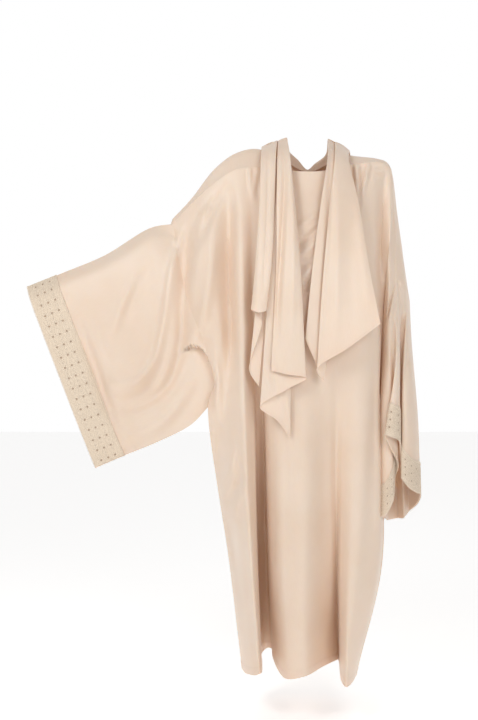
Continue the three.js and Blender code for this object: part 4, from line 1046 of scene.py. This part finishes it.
# ---- Veil -------------------------------------------------------------------------------------------------
# One long piece of the same crepe, sewn into the neckline. It is let down, so it lies round the back of the
# neck and its two ends fall over the chest, each folded to and fro.
# Fold line and its points: behind the shoulder, before it, on the collarbone, on the chest, at the end.
RIGHT_END = (
    ("main_left_fold", ((-80, 8, 53), (-84, -56, 2), (-87, -106, -94), (-90, -150, -281),
        (-103, -164, -562))),
    ("main_middle", ((-67, 8, 59), (-66, -64, 0), (-63, -114, -95), (-60, -160, -281), (-65, -170, -572))),
    ("main_right_fold", ((-56, 8, 61), (-52, -62, 4), (-45, -104, -86), (-31, -154, -265),
        (-15, -162, -582))),
    ("second_middle", ((-67, 7, 51), (-65, -57, -4), (-60, -101, -97), (-62, -148, -290), (-62, -157, -610))),
    ("second_left_fold", ((-78, 6, 45), (-82, -52, -5), (-89, -96, -100), (-106, -143, -300),
        (-131, -152, -656))),
    ("third_middle", ((-68, 6, 46), (-68, -52, -9), (-70, -94, -102), (-76, -139, -320), (-88, -146, -690))),
    ("third_right_fold", ((-58, 6, 47), (-56, -54, -11), (-52, -92, -100), (-50, -137, -320),
        (-55, -142, -735))),
    ("third_under", ((-68, 6, 41), (-70, -48, -14), (-74, -88, -104), (-80, -131, -330), (-84, -136, -690))),
)
RIGHT_STRIP = (
    ("front_under", ((-94, 7, 44), (-100, -52, 0), (-106, -106, -140), (-108, -148, -290),
        (-118, -154, -396))),
    ("front_right_edge", ((-82, 8, 54), (-88, -60, 4), (-94, -118, -150), (-103, -158, -293),
        (-116, -166, -410))),
    ("front_middle", ((-105, 8, 44), (-109, -60, 2), (-114, -122, -140), (-122, -162, -293),
        (-136, -174, -416))),
    ("front_left_edge", ((-124, 8, 37), (-127, -54, -2), (-132, -108, -130), (-143, -144, -293),
        (-154, -158, -408))),
    ("knot", ((-112, 6, 38), (-114, -51, -2), (-118, -102, -135), (-124, -139, -300), (-128, -152, -436))),
    ("under_left_edge", ((-122, 5, 34), (-124, -48, -6), (-126, -95, -135), (-134, -133, -330),
        (-158, -144, -562))),
    ("under_right_edge", ((-100, 5, 38), (-104, -46, -8), (-106, -92, -145), (-112, -131, -340),
        (-134, -142, -604))),
)
LEFT_END = (
    ("main_right_edge", ((112, 8, 27), (104, -58, -12), (124, -104, -130), (150, -136, -310),
        (175, -150, -444))),
    ("main_middle", ((93, 8, 42), (88, -68, -8), (86, -128, -130), (88, -152, -300), (92, -164, -505))),
    ("main_left_fold", ((73, 8, 50), (66, -72, -6), (47, -132, -150), (27, -155, -350), (13, -162, -560))),
    ("under_right_fold", ((90, 6, 33), (84, -62, -16), (76, -118, -150), (62, -144, -360), (30, -152, -588))),
    ("strip_left_fold", ((54, 8, 58), (48, -68, -4), (28, -114, -120), (2, -139, -310), (-16, -150, -480))),
    ("strip_under", ((71, 6, 41), (66, -62, -14), (52, -110, -130), (42, -133, -330), (20, -140, -530))),
)
# The band round the neck, from the right shoulder to the left.
NECK_BAND = (
    ("neck_edge", ((-56, 9.3, 61), (-51, 36, 33), (-24, 56, 10), (3, 66, -15), (22, 58, 0), (50, 38, 21),
        (54, 9.3, 58))),
    ("roll", ((-67, 9.3, 59), (-76, 50, 26), (-44, 80, 0), (-2, 92, -22), (42, 80, -4), (80, 50, 18),
        (73, 9.3, 50))),
    ("valley", ((-80, 9.3, 53), (-94, 60, 4), (-54, 92, -34), (0, 106, -58), (54, 92, -34), (98, 60, 0),
        (88, 9.3, 45))),
    ("lower_ridge", ((-100, 9.3, 49), (-116, 76, -22), (-66, 106, -68), (2, 120, -92), (68, 106, -68),
        (118, 76, -26), (102, 9.3, 34))),
    ("free_edge", ((-124, 9.3, 37), (-136, 82, -60), (-76, 110, -108), (4, 122, -134), (78, 110, -110),
        (134, 82, -64), (112, 9.3, 27))),
)
# Soft folds down the length of the ends, which the layers under them follow.
VEIL_CREASES = (
    ("right_first_trough", ((-67, 37), (-67, -76), (-75, -220), (-85, -378), (-88, -497)), (7, 12)),
    ("right_first_ridge", ((-54, 29), (-48, -115), (-48, -299), (-51, -483)), (9, -6)),
    ("right_second_trough", ((-43, -23), (-32, -181), (-25, -339), (-19, -497)), (6, 4)),
    ("strip_ridge", ((-125, 16), (-132, -155), (-140, -326), (-146, -426)), (9, -6)),
    ("strip_trough", ((-109, 27), (-111, -115), (-119, -278), (-125, -378)), (5, 5)),
    ("left_edge_trough", ((57, 37), (49, -89), (39, -247), (28, -404), (23, -497)), (6, 4)),
    ("left_broad_trough", ((89, 16), (94, -168), (99, -352), (99, -470)), (20, 4.5)),
    ("left_broad_ridge", ((67, -10), (65, -194), (62, -378), (57, -497)), (12, -4)),
    ("left_side_ridge", ((110, -49), (125, -181), (138, -312), (152, -426)), (12, -3.6)),
    ("low_point_trough", ((-109, -478), (-98, -568), (-88, -646)), (9, 5)),
    ("low_point_ridge", ((-69, -602), (-61, -654), (-54, -707)), (7, -4)),
)
VEIL_HEM = 6


def folded_end(lines, rows, finer):
    across = np.arange((len(lines) - 1) * finer + 1) / finer
    fallen = np.array([even_along(points, np.linspace(0, 1, rows)) for _, points in lines])
    return curve_through(fallen, across).transpose(1, 0, 2)


def neck_band(finer):
    """Rows across the band, from the back's neckline over the roll to the free edge."""
    first = column_named(BACK_LINES, "neck_r") + 1
    stations = len(NECK_BAND[0][1])
    seam = read_line(first + np.arange(stations), back_across, back[0])
    lines = np.array([seam] + [points for _, points in NECK_BAND], float)
    rows = curve_through(lines.transpose(1, 0, 2), np.arange((stations - 1) * finer + 1) / finer)
    across = np.arange((lines.shape[0] - 1) * finer + 1) / finer
    return curve_through(rows.transpose(1, 0, 2), across).transpose(1, 0, 2)


right_end = folded_end(RIGHT_END, rows=92, finer=20)
right_strip = folded_end(RIGHT_STRIP, rows=84, finer=16)
left_end = folded_end(LEFT_END, rows=88, finer=24)[:, ::-1]
band = neck_band(finer=10)[:, ::-1]
for end in (right_end, right_strip, left_end):
    end[..., 1] += creased(end, VEIL_CREASES)
VEIL_PIECES = (
    ("veil_end_right", right_end, with_hem(right_end, VEIL_HEM), (0.26, 0.62)),
    ("veil_strip_right", right_strip, with_hem(right_strip, VEIL_HEM), (0.14, 0.46)),
    ("veil_end_left", left_end, with_hem(left_end, VEIL_HEM), (0.24, 0.58)),
    ("veil_neck", band, CLOTH, (0.15, 0.36)),
)
for node, grid, thick, flat in VEIL_PIECES:
    piece = as_piece(cloth(f"{node}_cloth", grid, thick), crepe, "veil_satin", node)
    stitches = sew_lines(f"{node}_stitches", [hem_line(grid, VEIL_HEM - 1, HEM / 2)])

for shape in small_shapes:
    bpy.data.objects.remove(shape)

# ---- Floor and light --------------------------------------------------------------------------------------
# A plain pale floor under the hanging dress, a white room that is brightest behind it, and two wide soft
# lights in front, the stronger one from the upper left.
FLOOR = -1.5
FLOOR_HALF = 12
floor_mesh = bpy.data.meshes.new("floor")
corners = [(x * FLOOR_HALF, y * FLOOR_HALF, FLOOR) for x, y in ((-1, -1), (1, -1), (1, 1), (-1, 1))]
floor_mesh.from_pydata(corners, [], [(0, 1, 2, 3)])
floor_paint, tree, shader = new_material("pale_floor")
set_inputs(tree, shader, {"Base Color": (0.95, 0.94, 0.93, 1), "Roughness": 0.9,
                          "Emission Color": (1, 1, 1, 1), "Emission Strength": 0.42})
floor_mesh.materials.append(floor_paint)
add_object("floor", floor_mesh)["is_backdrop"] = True

world = bpy.context.scene.world or bpy.data.worlds.new("white_room")
bpy.context.scene.world = world
world.use_nodes = True
room = world.node_tree
toward = add_node(room, "ShaderNodeSeparateXYZ",
                  {"Vector": add_node(room, "ShaderNodeTexCoord").outputs["Generated"]})
glow = add_node(room, "ShaderNodeMapRange", {
    "Value": toward.outputs["Y"], "From Min": 0.05, "From Max": 0.6, "To Min": 0.33, "To Max": 1.0})
set_inputs(room, room.nodes["Background"], {"Color": (1, 1, 1, 1), "Strength": glow.outputs["Result"]})
bpy.context.scene.view_settings.view_transform = "Standard"
LIT_POINT = (0, 0, -0.3)


def soft_light(name, place, size, power):
    data = bpy.data.lights.new(name, "AREA")
    data.size = size
    data.energy = power
    light = add_object(name, data)
    light.location = place
    run = np.subtract(LIT_POINT, place)
    light.rotation_euler = (math.atan2(np.hypot(run[0], run[1]), -run[2]), 0,
                            math.atan2(run[1], run[0]) - math.pi / 2)


soft_light("key", (-1.35, -1.7, 0.8), size=0.8, power=20)
soft_light("fill", (0.7, -2.3, 0.3), size=1.0, power=17)

low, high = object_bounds()
